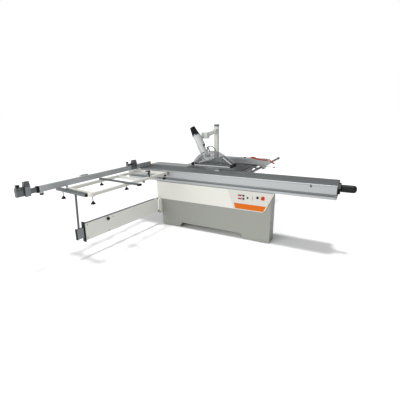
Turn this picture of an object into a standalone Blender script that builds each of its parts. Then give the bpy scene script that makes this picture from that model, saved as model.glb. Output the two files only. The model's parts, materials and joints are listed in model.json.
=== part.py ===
"""Sliding-table panel saw, modelled in metres with +Z up.

The plan is laid out from the left end of the front pedestal: X runs along the carriage's travel
towards the push handle, Y runs from the carriage's near face into the machine, and Z is up from
the floor. One empty shifts that layout so that the origin lies under the middle of the machine.
"""

import math

import bmesh
import bpy
from mathutils import Vector

# ---------------------------------------------------------------- driving dimensions
GAP = 0.0004                # clearance between neighbouring pieces
TABLE_TOP = 0.900           # height of every work surface

CARRIAGE_LEFT = -0.647      # the carriage and its rail, end to end
CARRIAGE_RIGHT = 2.541
CARRIAGE_DEPTH = 0.403
CARRIAGE_BOTTOM = 0.790
RAIL_BOTTOM = 0.7245
RAIL_TOP = 0.776

BASE_LENGTH = 1.765         # front pedestal
BASE_FRONT = 0.010
BASE_BACK = 0.204
FOOT_HEIGHT = 0.010
SHEET = 0.004               # thickness of the steel sheet

COVER_LEFT = -0.115         # cream cover over the pedestal
COVER_BOTTOM = 0.440
COVER_TOP = 0.715
COVER_FRONT = -0.004

CABINET_RIGHT = 1.120       # cabinet behind the pedestal
CABINET_LEFT = -0.050
CABINET_BACK = 1.130
CABINET_TOP = 0.855

BLADE_X = 0.660             # saw blade centre
BLADE_PLANE = 0.428
BLADE_HEIGHT = 0.740
BLADE_RADIUS = 0.200
BLADE_THICKNESS = 0.0044
MOTOR_HEIGHT = 0.450

TABLE_LEFT = 0.220          # cast table
TABLE_RIGHT = 1.165
TABLE_FRONT = 0.4105
TABLE_BACK = 1.120
TABLE_UNDERSIDE = 0.860
EXTENSION_BACK = 1.620

BAR_X = 1.276               # round guide bar of the rip fence
BAR_HEIGHT = 0.860
BAR_RADIUS = 0.020
BAR_END = 2.290
RIP_FRONT = 1.070
RIP_BACK = 1.200
RIP_LEFT = 0.530
RIP_RIGHT = 1.400

HOOD_CENTRE = (0.680, 0.839)  # centre of the round back of the overhead blade guard
HOOD_BOTTOM = 0.945
HOOD_RADIUS = 0.342
HOOD_HALF_WIDTH = 0.060
HOOD_RIGHT = 1.045
HOOD_WALL = 0.003

FENCE_FACE_X = -0.400       # crosscut fence
FENCE_THICKNESS = 0.036
FENCE_BOTTOM = 0.903
FENCE_TOP = 0.973
FENCE_INNER_END = 0.250
FENCE_OUTER_END = -1.795

TUBE_TOP = 0.880            # outrigger frame
TUBE_WIDTH = 0.040
TUBE_HEIGHT = 0.035
TUBE_WALL = 0.003
NEAR_TUBE = ((0.083, -1.478), (0.116, -0.013))
FAR_TUBE = ((-0.385, -1.430), (-0.385, -0.013))

ARM_PIVOT = (-0.072, -0.045)
ARM_ANGLE = math.radians(-4.55)   # from straight out, towards the left
ARM_RADIUS = 1.4496
ARM_BOTTOM = 0.225
ARM_TOP = 0.447
ARM_HALF_WIDTH = 0.021
ARM_LENGTH = 1.374
INNER_HALF_WIDTH = 0.0155     # telescopic inner arm

COLUMN_X = (0.107, 0.185)   # guard column
COLUMN_Y = (1.711, 1.789)
COLUMN_TOP = 1.530

GRIP_RIGHT = 2.750          # outer limits of the machine
STOP_FRONT = -2.030

CENTRE_X = (CARRIAGE_LEFT + GRIP_RIGHT) / 2
CENTRE_Y = (STOP_FRONT + BAR_END) / 2

ROUND = 24                  # facets round a small cylinder
FINE = 48                   # facets round a large one

# ---------------------------------------------------------------- scene
for leftover in list(bpy.data.objects):
    bpy.data.objects.remove(leftover, do_unlink=True)

MACHINE = bpy.data.collections.new("panel_saw")
CUTTERS = bpy.data.collections.new("cutters")
bpy.context.scene.collection.children.link(MACHINE)
bpy.context.scene.collection.children.link(CUTTERS)

PIVOTS = {}                 # each joint's empty, with its place in the layout


def material(name, colour, roughness, metallic=0.0, alpha=1.0):
    """A Principled material, made once for each name."""
    made = bpy.data.materials.get(name) or bpy.data.materials.new(name)
    made.use_nodes = True
    shader = made.node_tree.nodes["Principled BSDF"]
    shader.inputs["Base Color"].default_value = (*colour, 1.0)
    shader.inputs["Roughness"].default_value = roughness
    shader.inputs["Metallic"].default_value = metallic
    shader.inputs["Alpha"].default_value = alpha
    made.diffuse_color = (*colour, alpha)
    return made


GREY_PAINT = material("grey_paint", (0.30, 0.31, 0.29), 0.45)
CREAM_PAINT = material("cream_paint", (0.76, 0.76, 0.72), 0.40)
ANODISED = material("anodised_aluminium", (0.56, 0.57, 0.57), 0.35, 0.9)
CAST_IRON = material("ground_cast_iron", (0.10, 0.11, 0.12), 0.40, 0.8)
SHEET_STEEL = material("painted_table_sheet", (0.47, 0.49, 0.49), 0.45)
STEEL = material("bright_steel", (0.55, 0.55, 0.55), 0.25, 1.0)
BLACK_PLASTIC = material("black_plastic", (0.015, 0.015, 0.015), 0.50)
ORANGE_PLASTIC = material("orange_plastic", (0.60, 0.12, 0.01), 0.40)
RED_PLASTIC = material("red_plastic", (0.55, 0.02, 0.02), 0.40)
WHITE_PLASTIC = material("white_plastic", (0.75, 0.75, 0.72), 0.40)
CLEAR_PLASTIC = material("clear_polycarbonate", (0.75, 0.78, 0.78), 0.15, 0.0, 0.35)
RUBBER = material("black_rubber", (0.02, 0.02, 0.02), 0.80)
MOTOR_PAINT = material("motor_paint", (0.10, 0.16, 0.22), 0.45)


def pivot(name, at, parent=None):
    """An empty on a joint's axis, placed in the layout and parented to the body it moves on."""
    empty = bpy.data.objects.new("joint_" + name, None)
    empty.empty_display_size = 0.05
    MACHINE.objects.link(empty)
    PIVOTS[name] = (empty, Vector(at))
    if parent:
        empty.parent = PIVOTS[parent][0]
        empty.location = Vector(at) - PIVOTS[parent][1]
    return empty


def place(piece, body, at, surface):
    """Hang a piece on its body's empty at a place in the layout, and give it its material."""
    empty, origin = PIVOTS[body]
    piece.parent = empty
    piece.location = Vector(at) - origin
    piece.data.materials.append(surface)
    return piece


def mesh_piece(name, shape, collection=MACHINE):
    """Turn a bmesh into a named object."""
    bmesh.ops.recalc_face_normals(shape, faces=shape.faces)
    mesh = bpy.data.meshes.new(name)
    shape.to_mesh(mesh)
    shape.free()
    piece = bpy.data.objects.new(name, mesh)
    collection.objects.link(piece)
    if collection is CUTTERS:
        piece.hide_render = True
        piece.display_type = "WIRE"
    return piece


def round_edges(piece, width, segments=2):
    """Round a piece's sharp edges."""
    bevel = piece.modifiers.new("round_edges", "BEVEL")
    bevel.width = width
    bevel.segments = segments
    bevel.limit_method = "ANGLE"


def block(name, x, y, z, surface, body, edge=0.0, turn=0.0, collection=MACHINE):
    """A box between its limits, turned about its own vertical centre line."""
    shape = bmesh.new()
    bmesh.ops.create_cube(shape, size=1.0)
    size = (x[1] - x[0], y[1] - y[0], z[1] - z[0])
    bmesh.ops.scale(shape, vec=size, verts=shape.verts)
    piece = mesh_piece(name, shape, collection)
    place(piece, body, (sum(x) / 2, sum(y) / 2, sum(z) / 2), surface)
    piece.rotation_euler.z = turn
    if edge:
        round_edges(piece, edge)
    return piece


def cylinder(name, start, end, radius, surface, body, end_radius=None, facets=ROUND, collection=MACHINE):
    """A cylinder, or a cone when the end radius differs, between two points of the layout."""
    start = Vector(start)
    end = Vector(end)
    run = end - start
    shape = bmesh.new()
    bmesh.ops.create_cone(
        shape,
        cap_ends=True,
        segments=facets,
        radius1=radius,
        radius2=radius if end_radius is None else end_radius,
        depth=run.length,
    )
    piece = mesh_piece(name, shape, collection)
    place(piece, body, (start + end) / 2, surface)
    piece.rotation_euler = run.to_track_quat("Z", "Y").to_euler()
    piece.data.shade_smooth()
    piece.data.set_sharp_from_angle(angle=math.radians(40))
    return piece


def outline(name, points, at, thickness, surface, body, facing="y", turn=0.0, collection=MACHINE):
    """A flat outline of the given thickness, centred on its plane.

    Facing y, a point is (x, z); facing x, it is (y, z); facing z, it is (x, y).
    """
    curve = bpy.data.curves.new(name, "CURVE")
    curve.dimensions = "2D"
    curve.fill_mode = "BOTH"
    curve.extrude = thickness / 2
    spline = curve.splines.new("POLY")
    spline.points.add(len(points) - 1)
    for knot, (across, up) in zip(spline.points, points):
        knot.co = (across, up, 0.0, 1.0)
    spline.use_cyclic_u = True
    sketch = bpy.data.objects.new(name + "_sketch", curve)
    bpy.context.scene.collection.objects.link(sketch)
    bpy.context.view_layer.update()
    depsgraph = bpy.context.evaluated_depsgraph_get()
    mesh = bpy.data.meshes.new_from_object(sketch.evaluated_get(depsgraph))
    bpy.data.objects.remove(sketch, do_unlink=True)
    shape = bmesh.new()
    shape.from_mesh(mesh)
    bpy.data.meshes.remove(mesh)
    bmesh.ops.remove_doubles(shape, verts=shape.verts, dist=0.00001)
    piece = mesh_piece(name, shape, collection)
    place(piece, body, at, surface)
    tilt = {"y": (math.pi / 2, 0, 0), "x": (math.pi / 2, 0, math.pi / 2), "z": (0, 0, turn)}
    piece.rotation_euler = tilt[facing]
    return piece


def bent_tube(name, points, radius, surface, body):
    """A round bar bent through the given points of the layout."""
    origin = PIVOTS[body][1]
    curve = bpy.data.curves.new(name, "CURVE")
    curve.dimensions = "3D"
    curve.bevel_depth = radius
    curve.bevel_resolution = 2
    curve.use_fill_caps = True
    spline = curve.splines.new("POLY")
    spline.points.add(len(points) - 1)
    for knot, point in zip(spline.points, points):
        knot.co = (*(Vector(point) - Vector(points[0])), 1.0)
    piece = bpy.data.objects.new(name, curve)
    MACHINE.objects.link(piece)
    piece.parent = PIVOTS[body][0]
    piece.location = Vector(points[0]) - origin
    curve.materials.append(surface)
    return piece


def boolean(piece, tool, operation="DIFFERENCE"):
    """Cut a piece with a tool, or join the tool to it."""
    modifier = piece.modifiers.new(operation.lower(), "BOOLEAN")
    modifier.operation = operation
    modifier.object = tool
    modifier.solver = "EXACT"
    return piece


def cut_box(piece, label, x, y, z, body, turn=0.0):
    """Cut a box out of a piece."""
    return boolean(piece, block(label, x, y, z, STEEL, body, turn=turn, collection=CUTTERS))


def cut_round(piece, label, start, end, radius, body, facets=ROUND):
    """Cut a round hole out of a piece."""
    tool = cylinder(label, start, end, radius, STEEL, body, facets=facets, collection=CUTTERS)
    return boolean(piece, tool)


def join_box(piece, label, x, y, z, body, turn=0.0):
    """Join a box to a piece."""
    return boolean(piece, block(label, x, y, z, STEEL, body, turn=turn, collection=CUTTERS), "UNION")


def join_round(piece, label, start, end, radius, body, end_radius=None, facets=ROUND):
    """Join a cylinder or a cone to a piece."""
    tool = cylinder(label, start, end, radius, STEEL, body, end_radius, facets, CUTTERS)
    return boolean(piece, tool, "UNION")


def add_chambers(piece, y, z, count, body):
    """Run hollow chambers side by side through the whole length of an X-wise profile."""
    pitch = (y[1] - y[0]) / count
    for number in range(count):
        start = y[0] + pitch * number
        chamber = ((CARRIAGE_LEFT - 0.1, CARRIAGE_RIGHT + 0.1), (start, start + pitch - SHEET), z)
        cut_box(piece, f"{piece.name}_chamber_{number}", *chamber, body)


def arc(centre, radius, first, last, steps):
    """Points of an arc in degrees, both ends included."""
    points = []
    for step in range(steps + 1):
        angle = math.radians(first + (last - first) * step / steps)
        points.append((centre[0] + radius * math.cos(angle), centre[1] + radius * math.sin(angle)))
    return points


def beam(name, start, end, width, z, surface, body, edge=0.0):
    """A straight bar in plan from one point to another, between two heights."""
    run = Vector(end) - Vector(start)
    middle = (Vector(start) + Vector(end)) / 2
    half = run.length / 2
    turn = math.atan2(run.y, run.x)
    along = (middle.x - half, middle.x + half)
    across = (middle.y - width / 2, middle.y + width / 2)
    return block(name, along, across, z, surface, body, edge, turn)


def make_cutter(piece):
    """Move a piece from the machine to the cutters."""
    MACHINE.objects.unlink(piece)
    CUTTERS.objects.link(piece)
    piece.hide_render = True
    piece.display_type = "WIRE"


def tube(name, start, end):
    """A rectangular tube of the outrigger frame, open right through."""
    z = (TUBE_TOP - TUBE_HEIGHT, TUBE_TOP)
    piece = beam(name, start, end, TUBE_WIDTH, z, CREAM_PAINT, "carriage")
    run = (Vector(end) - Vector(start)).normalized() * 0.05
    longer = (Vector(start) - run, Vector(end) + run)
    inside_z = (z[0] + TUBE_WALL, z[1] - TUBE_WALL)
    inside = beam(name + "_inside", *longer, TUBE_WIDTH - 2 * TUBE_WALL, inside_z, STEEL, "carriage")
    make_cutter(inside)
    return boolean(piece, inside)


def arm_point(along, height, across=0.0):
    """A point on the swing arm, measured outwards from its pivot."""
    out = Vector((math.sin(ARM_ANGLE), -math.cos(ARM_ANGLE)))
    side = Vector((-out.y, out.x))
    plan = Vector(ARM_PIVOT) + out * along + side * across
    return (plan.x, plan.y, height)


def arm_block(name, along, half_width, z, surface, body, edge=0.0, collection=MACHINE):
    """A box lying along the swing arm."""
    middle = arm_point(sum(along) / 2, sum(z) / 2)
    half = (along[1] - along[0]) / 2
    x = (middle[0] - half_width, middle[0] + half_width)
    y = (middle[1] - half, middle[1] + half)
    return block(name, x, y, z, surface, body, edge, ARM_ANGLE, collection)


KNOBS = {                   # each hanging knob: place, bottom and the underside that it screws into
    "clamp_knob_outer_left": (-0.430, -1.457, 0.745, 0.842),
    "clamp_knob_outer_right": (0.082, -1.462, 0.745, 0.845),
    "clamp_knob_middle_left": (-0.385, -0.869, 0.795, 0.845),
    "clamp_knob_middle_right": (0.104, -0.912, 0.795, 0.845),
}


# ---------------------------------------------------------------- joints
def make_pivots():
    """Every body's empty, on its joint's axis."""
    root = pivot("machine", (0, 0, 0))
    root.location = (-CENTRE_X, -CENTRE_Y, 0)
    pivot("cabinet_door", (CABINET_RIGHT + 0.006, 0.300, 0.430), "machine")
    pivot("height_button", (1.380, -0.013, 0.647), "machine")
    pivot("tilt_button", (1.380, -0.013, 0.602), "machine")
    pivot("start_button", (1.440, -0.013, 0.622), "machine")
    pivot("scoring_button", (1.580, -0.013, 0.640), "machine")
    pivot("main_switch", (1.654, -0.013, 0.639), "machine")
    pivot("rail_lock", (0.063, -0.012, 0.7695), "machine")
    pivot("roller_cage", (0.947, 0.200, 0.783), "machine")
    pivot("carriage", (0.947, 0.200, 0.845), "machine")
    pivot("carriage_latch", (2.245, -0.004, 0.868), "carriage")
    for name, (x, y, low, _) in KNOBS.items():
        pivot(name, (x, y, low), "carriage")
    pivot("material_clamp", (0.1066, -0.430, TUBE_TOP + 0.030), "carriage")
    pivot("crosscut_fence", (FENCE_FACE_X - FENCE_THICKNESS / 2, -0.060, FENCE_BOTTOM), "carriage")
    pivot("fence_extension", (FENCE_FACE_X - FENCE_THICKNESS / 2, -1.850, 0.938), "crosscut_fence")
    pivot("outer_stop", (FENCE_FACE_X - FENCE_THICKNESS / 2, -1.915, 1.016), "fence_extension")
    pivot("flip_stop_carrier", (FENCE_FACE_X - FENCE_THICKNESS / 2, -0.155, 0.985), "crosscut_fence")
    pivot("flip_stop", (FENCE_FACE_X - FENCE_THICKNESS / 2, -0.155, 1.016), "flip_stop_carrier")
    pivot("swing_arm", (*ARM_PIVOT, 0.336), "machine")
    pivot("inner_arm", arm_point(0.6, 0.336), "swing_arm")
    pivot("rip_fence", (BAR_X, 1.135, BAR_HEIGHT), "machine")
    pivot("rip_clamp_lever", (1.375, 1.056, 0.996), "rip_fence")
    pivot("rip_lock_lever", (RIP_RIGHT - 0.020, 1.100, 0.985), "rip_fence")
    pivot("guard_arm", (0.146, 1.674, 1.405), "machine")
    pivot("guard_hood", (0.450, BLADE_PLANE, 1.329), "guard_arm")
    pivot("tilt", (BLADE_X, BLADE_PLANE, TABLE_TOP), "machine")
    pivot("lift", (BLADE_X, BLADE_PLANE, BLADE_HEIGHT), "tilt")
    pivot("arbor", (BLADE_X, BLADE_PLANE, BLADE_HEIGHT), "lift")
    pivot("motor_pulley", (BLADE_X, BLADE_PLANE, MOTOR_HEIGHT), "lift")
    pivot("scoring", (0.915, BLADE_PLANE, 0.842), "tilt")


# ---------------------------------------------------------------- base
def front_pedestal():
    """Folded sheet box, open at the back, with a toe cutout at the floor."""
    middle = (BASE_FRONT + BASE_BACK) / 2
    bottom = FOOT_HEIGHT
    points = [
        (0.0, bottom), (0.318, bottom), (0.360, 0.080), (1.347, 0.080), (1.380, bottom),
        (BASE_LENGTH, bottom), (BASE_LENGTH, RAIL_BOTTOM - GAP), (0.0, RAIL_BOTTOM - GAP),
    ]
    at = (0, middle, 0)
    piece = outline("front_pedestal", points, at, BASE_BACK - BASE_FRONT, GREY_PAINT, "machine")
    inner = [
        (SHEET, bottom + SHEET), (0.310, bottom + SHEET), (0.352, 0.080 + SHEET), (1.355, 0.080 + SHEET),
        (1.388, bottom + SHEET), (BASE_LENGTH - SHEET, bottom + SHEET),
        (BASE_LENGTH - SHEET, RAIL_BOTTOM - SHEET), (SHEET, RAIL_BOTTOM - SHEET),
    ]
    depth = BASE_BACK - BASE_FRONT
    hollow = outline(
        "pedestal_hollow", inner, (0, middle + SHEET, 0), depth, STEEL, "machine", collection=CUTTERS
    )
    boolean(piece, hollow)
    add_feet(piece, [(0.10, 0.107), (1.66, 0.107)])


def main_cabinet():
    """Sheet cabinet behind the pedestal, open at the top for the saw unit, with a door opening."""
    front = BASE_BACK + GAP
    x = (CABINET_LEFT, CABINET_RIGHT)
    tall = (FOOT_HEIGHT, CABINET_TOP)
    piece = block("main_cabinet", x, (front, CABINET_BACK), tall, GREY_PAINT, "machine")
    inside_x = (x[0] + SHEET, x[1] - SHEET)
    inside_y = (front + SHEET, CABINET_BACK - SHEET)
    cut_box(piece, "cabinet_inside", inside_x, inside_y, (FOOT_HEIGHT + SHEET, 1.0), "machine")
    cut_box(piece, "door_opening", (1.0, 1.3), (0.340, 0.940), (0.160, 0.700), "machine")
    # the rail lies above the front edge, so the front wall stops under it
    rail_room = ((-0.2, 1.3), (0.1, TABLE_FRONT - 0.003), (RAIL_BOTTOM - GAP, 1.0))
    cut_box(piece, "rail_room", *rail_room, "machine")
    cut_round(piece, "dust_outlet", (0.2, 1.0, 0.20), (0.2, 1.3, 0.20), 0.056, "machine")
    add_feet(piece, [(0.05, 0.30), (1.02, 0.30), (0.05, 1.04), (1.02, 1.04)])


def cabinet_door():
    """Door on the right end, on a vertical hinge at its front edge."""
    x = (CABINET_RIGHT + GAP, CABINET_RIGHT + 0.012)
    piece = block("cabinet_door", x, (0.302, 0.978), (0.130, 0.718), GREY_PAINT, "cabinet_door", 0.003)
    pull = ((x[1] - 0.001, x[1] + 0.022), (0.930, 0.950), (0.400, 0.520))
    join_box(piece, "door_pull", *pull, "cabinet_door")


def add_feet(piece, places):
    """Join round levelling feet to the underside of a housing."""
    for number, (x, y) in enumerate(places):
        label = f"{piece.name}_foot_{number}"
        join_round(piece, label, (x, y, 0), (x, y, FOOT_HEIGHT + 0.002), 0.030, "machine", facets=16)


def front_cover():
    """Cream cover in front of the pedestal, rounded round its left end, slanted at its right end."""
    inner_face = BASE_FRONT - GAP
    back = BASE_BACK - 0.010
    corner = arc((COVER_LEFT + 0.060, COVER_FRONT + 0.060), 0.060, 180, 270, 6)
    points = [(COVER_LEFT, back)]
    points += corner
    points += [(1.830, COVER_FRONT), (1.830, inner_face), (-GAP, inner_face), (-GAP, back)]
    height = COVER_TOP - COVER_BOTTOM
    at = (0, 0, (COVER_TOP + COVER_BOTTOM) / 2)
    piece = outline("front_cover", points, at, height, CREAM_PAINT, "machine", "z")
    slant = [(1.640, COVER_BOTTOM - 0.01), (1.668, COVER_BOTTOM + 0.010), (1.690, COVER_BOTTOM + 0.028),
             (1.8045, COVER_TOP + 0.01), (2.0, COVER_TOP + 0.01), (2.0, COVER_BOTTOM - 0.01)]
    boolean(piece, outline("cover_slant", slant, (0, 0, 0), 0.1, STEEL, "machine", collection=CUTTERS))


def control_panel():
    """Raised control panel on the right end of the cover."""
    points = [(1.240, 0.447), (1.654, 0.447), (1.676, 0.462), (1.786, 0.705), (1.144, 0.705)]
    at = (0, COVER_FRONT - GAP - 0.002, 0)
    outline("control_panel", points, at, 0.004, WHITE_PLASTIC, "machine")


def button(name, radius, surface):
    """A round push button that stands off the panel by its travel."""
    x, _, z = PIVOTS[name][1]
    piece = cylinder(name, (x, -0.0125, z), (x, -0.0175, z), radius, surface, name)
    return piece


def push_buttons():
    """The panel's four push buttons and the rotary main switch."""
    button("height_button", 0.011, BLACK_PLASTIC)
    button("tilt_button", 0.011, BLACK_PLASTIC)
    button("start_button", 0.009, BLACK_PLASTIC)
    button("scoring_button", 0.012, BLACK_PLASTIC)
    x, _, z = PIVOTS["main_switch"][1]
    knob = cylinder("main_switch", (x, -0.0092, z), (x, -0.020, z), 0.025, RED_PLASTIC, "main_switch")
    grip = ((x - 0.006, x + 0.006), (-0.034, -0.018), (z - 0.021, z + 0.021))
    join_box(knob, "switch_grip", *grip, "main_switch")


# ---------------------------------------------------------------- rail and carriage
def guide_rail():
    """Fixed rail profile on the pedestal, with a hollow under its running face."""
    points = [
        (0.0, RAIL_BOTTOM), (0.360, RAIL_BOTTOM), (0.360, RAIL_TOP), (0.340, RAIL_TOP),
        (0.330, RAIL_TOP - 0.008), (0.038, RAIL_TOP - 0.008), (0.034, RAIL_TOP), (0.024, RAIL_TOP),
        (0.018, 0.757), (0.0, 0.757),
    ]
    middle = (CARRIAGE_LEFT + CARRIAGE_RIGHT) / 2
    length = CARRIAGE_RIGHT - CARRIAGE_LEFT
    rail = outline("guide_rail", points, (middle, 0, 0), length, ANODISED, "machine", "x")
    add_chambers(rail, (0.006, 0.358), (RAIL_BOTTOM + 0.005, RAIL_TOP - 0.024), 3, "machine")


def roller_cage():
    """Long cage of rollers between the rail and the carriage, which runs at half their speed."""
    block("roller_cage", (0.147, 1.747), (0.040, 0.320), (0.7690, 0.7890), STEEL, "roller_cage")


def rail_lock_knob():
    """Knob that locks the carriage on its rail."""
    x, _, z = PIVOTS["rail_lock"][1]
    piece = cylinder("rail_lock_knob", (x, -0.0005, z), (x, -0.026, z), 0.0185, BLACK_PLASTIC, "rail_lock")
    round_edges(piece, 0.003)


def sliding_carriage():
    """Sliding table profile with a lengthwise slot in its top."""
    top = TABLE_TOP
    low = CARRIAGE_BOTTOM
    depth = CARRIAGE_DEPTH
    points = [
        (0.006, low), (depth - 0.006, low), (depth, low + 0.006), (depth, top - 0.002),
        (depth - 0.002, top), (0.078, top), (0.078, top - 0.008), (0.066, top - 0.008),
        (0.066, top), (0.004, top), (0.0, top - 0.004), (0.0, low + 0.006),
    ]
    middle = (CARRIAGE_LEFT + CARRIAGE_RIGHT) / 2
    length = CARRIAGE_RIGHT - CARRIAGE_LEFT
    piece = outline("sliding_carriage", points, (middle, 0, 0), length, ANODISED, "carriage", "x")
    add_chambers(piece, (0.006, 0.401), (low + 0.005, top - 0.014), 4, "carriage")
    # clamping shoe on the top
    join_box(piece, "shoe_foot", (0.800, 0.880), (0.270, 0.330), (top - 0.001, top + 0.014), "carriage")
    join_round(piece, "shoe_post", (0.840, 0.300, top), (0.840, 0.300, top + 0.040), 0.014, "carriage")


def carriage_fittings():
    """Push handle on its bracket, and the carriage latch."""
    start = CARRIAGE_RIGHT + GAP
    points = [
        (0.050, 0.790), (0.250, 0.790), (0.250, 0.860), (0.195, 0.906), (0.105, 0.906), (0.050, 0.860),
    ]
    at = (start + 0.016, 0, 0)
    handle = outline("push_handle", points, at, 0.032, BLACK_PLASTIC, "carriage", "x")
    grip = block(
        "handle_grip", (start + 0.010, GRIP_RIGHT), (0.105, 0.195), (0.800, 0.890), BLACK_PLASTIC, "carriage",
        collection=CUTTERS,
    )
    round_edges(grip, 0.036, 4)
    boolean(handle, grip, "UNION")
    x, _, z = PIVOTS["carriage_latch"][1]
    latch = cylinder("carriage_latch", (x, -0.0005, z), (x, -0.012, z), 0.009, STEEL, "carriage_latch")
    tongue = ((x - 0.004, x + 0.004), (-0.010, -0.004), (z - 0.004, z + 0.024))
    join_box(latch, "latch_tongue", *tongue, "carriage_latch")


# ---------------------------------------------------------------- outrigger
def outrigger_frame():
    """Tubular frame that hangs on the carriage and carries the crosscut fence."""
    tube("outrigger_near_tube", *NEAR_TUBE)
    tube("outrigger_far_tube", *FAR_TUBE)
    tube("outrigger_outer_tube", (-0.3620, -1.405), (0.0575, -1.452))
    tube("outrigger_cross_tube", (-0.3615, -0.545), (0.0780, -0.605))
    inner = tube("outrigger_inner_tube", (-0.3635, -0.040), (0.0930, -0.040))
    for side, x in (("left", -0.300), ("right", 0.035)):
        hook = ((x, x + 0.050), (-0.022, -GAP), (0.850, 0.876))
        join_box(inner, side + "_hook", *hook, "carriage")


def clamp_rails():
    """Two grey rails across the frame that carry the panel and its stops."""
    z = (TUBE_TOP + GAP, FENCE_BOTTOM - 0.003)
    beam("middle_clamp_rail", (-0.395, -0.868), (0.320, -0.930), 0.045, z, ANODISED, "carriage", 0.003)
    outer = beam(
        "outer_clamp_rail", (-0.532, -1.446), (0.048, -1.515), 0.045, (0.842, 0.877), GREY_PAINT, "carriage",
        0.003,
    )
    for side, (start, end) in (("near", NEAR_TUBE), ("far", FAR_TUBE)):
        room = beam(
            side + "_tube_room", (start[0], start[1] - 0.002), end, TUBE_WIDTH + 0.001, (0.8, 0.9), STEEL,
            "carriage",
        )
        make_cutter(room)
        boolean(outer, room)


def clamp_knobs():
    """Four hanging knobs that clamp the rails from below."""
    for name in KNOBS:
        x, y, low = PIVOTS[name][1]
        top = KNOBS[name][3]
        knob = cylinder(name, (x, y, low + 0.010), (x, y, top - GAP), 0.006, BLACK_PLASTIC, name, facets=12)
        grip = ((x, y, low), (x, y, low + 0.022))
        join_round(knob, name + "_grip", *grip, 0.024, name, end_radius=0.016, facets=16)


def material_clamp():
    """Eccentric clamp standing on the frame's near tube."""
    x, y, _ = PIVOTS["material_clamp"][1]
    foot = TUBE_TOP + GAP
    piece = cylinder("material_clamp", (x, y, foot), (x, y, 0.950), 0.011, BLACK_PLASTIC, "material_clamp")
    join_round(piece, "clamp_head", (x, y, 0.945), (x, y, 0.966), 0.019, "material_clamp")
    join_box(piece, "clamp_lever", (x - 0.055, x), (y - 0.010, y + 0.010), (0.949, 0.963), "material_clamp")


# ---------------------------------------------------------------- crosscut fence
def crosscut_fence():
    """Hollow fence extrusion with its pivot foot; the extension runs inside it."""
    x = (FENCE_FACE_X - FENCE_THICKNESS, FENCE_FACE_X)
    y = (FENCE_OUTER_END, FENCE_INNER_END)
    z = (FENCE_BOTTOM, FENCE_TOP)
    piece = block("crosscut_fence", x, y, z, ANODISED, "crosscut_fence")
    inside = (x[0] + 0.004, x[1] - 0.004)
    bore_z = (z[0] + 0.004, z[1] - 0.004)
    cut_box(piece, "fence_inside", inside, (y[0] - 0.1, -0.95), bore_z, "crosscut_fence")
    centre = PIVOTS["crosscut_fence"][1]
    top = (centre.x, centre.y, FENCE_BOTTOM + 0.002)
    foot = (centre.x, centre.y, TUBE_TOP + GAP)
    join_round(piece, "fence_pivot_foot", foot, top, 0.017, "crosscut_fence")
    rest = (x[0] - 0.034, x[0] + 0.001)
    join_box(piece, "fence_clamp", rest, (-1.155, -1.035), (0.905, 0.985), "crosscut_fence")
    slider_top = (centre.x, -1.40, FENCE_BOTTOM + 0.002)
    slider_foot = (centre.x, -1.40, TUBE_TOP + GAP)
    join_round(piece, "fence_slider_foot", slider_foot, slider_top, 0.014, "crosscut_fence")
    knob_top = (centre.x, -1.740, FENCE_BOTTOM + 0.002)
    knob_foot = (centre.x, -1.740, 0.870)
    join_round(piece, "fence_lock_knob", knob_foot, knob_top, 0.020, "crosscut_fence")


def fence_extension():
    """Telescopic bar inside the fence, with the outer stop's block on its end."""
    x = (FENCE_FACE_X - FENCE_THICKNESS + 0.006, FENCE_FACE_X - 0.006)
    z = (FENCE_BOTTOM + 0.007, FENCE_TOP - 0.007)
    piece = block("fence_extension", x, (-1.905, -1.000), z, STEEL, "fence_extension")
    stop_x = (FENCE_FACE_X - FENCE_THICKNESS, FENCE_FACE_X)
    stop_block = (stop_x, (STOP_FRONT, -1.872), (FENCE_BOTTOM, FENCE_TOP))
    join_box(piece, "outer_stop_block", *stop_block, "fence_extension")
    carrier_x = (x[0] - 0.018, x[0] + 0.022)
    stop_carrier = (carrier_x, (STOP_FRONT + 0.008, -1.880), (0.970, 0.9985))
    join_box(piece, "outer_stop_carrier", *stop_carrier, "fence_extension")
    centre = PIVOTS["fence_extension"][1]
    knob = ((centre.x - 0.018, -1.996, 0.990), (centre.x - 0.018, -1.996, 1.028))
    join_round(piece, "outer_stop_knob", *knob, 0.018, "fence_extension")


def stop_flap(name, body, y, width, top, low, surface):
    """A stop plate that hangs on the fence's front and flips up over it."""
    axis = PIVOTS[body][1]
    face = FENCE_FACE_X + 0.0015
    points = [
        (axis.x - 0.006, axis.z - 0.014), (axis.x + 0.012, axis.z - 0.016), (face, 0.980), (face, low),
        (face + 0.014, low), (face + 0.024, 1.000), (axis.x + 0.030, top), (axis.x + 0.006, top),
    ]
    at = (0, y, 0)
    return outline(name, points, at, width, surface, body)


def fence_stops():
    """The sliding flip stop and the stop on the extension's end."""
    axis = PIVOTS["flip_stop"][1]
    carrier = block(
        "flip_stop_carrier", (axis.x - 0.030, axis.x + 0.010), (axis.y - 0.135, axis.y + 0.050),
        (FENCE_TOP + 0.0008, 0.9985), BLACK_PLASTIC, "flip_stop_carrier", 0.003,
    )
    knob = ((axis.x - 0.018, axis.y - 0.112, 0.990), (axis.x - 0.018, axis.y - 0.112, 1.028))
    join_round(carrier, "carrier_knob", *knob, 0.018, "flip_stop_carrier")
    flap = stop_flap("flip_stop_flap", "flip_stop", axis.y, 0.096, 1.052, 0.906, STEEL)
    boss = ((axis.x + 0.020, axis.y, 1.034), (axis.x - 0.010, axis.y, 1.036))
    join_round(flap, "flap_knob", *boss, 0.014, "flip_stop")
    stop = PIVOTS["outer_stop"][1]
    outer = stop_flap("outer_stop_flap", "outer_stop", stop.y, 0.062, 1.058, 0.892, STEEL)
    outer_boss = ((stop.x + 0.020, stop.y, 1.038), (stop.x - 0.010, stop.y, 1.040))
    join_round(outer, "outer_flap_knob", *outer_boss, 0.014, "outer_stop")


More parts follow.
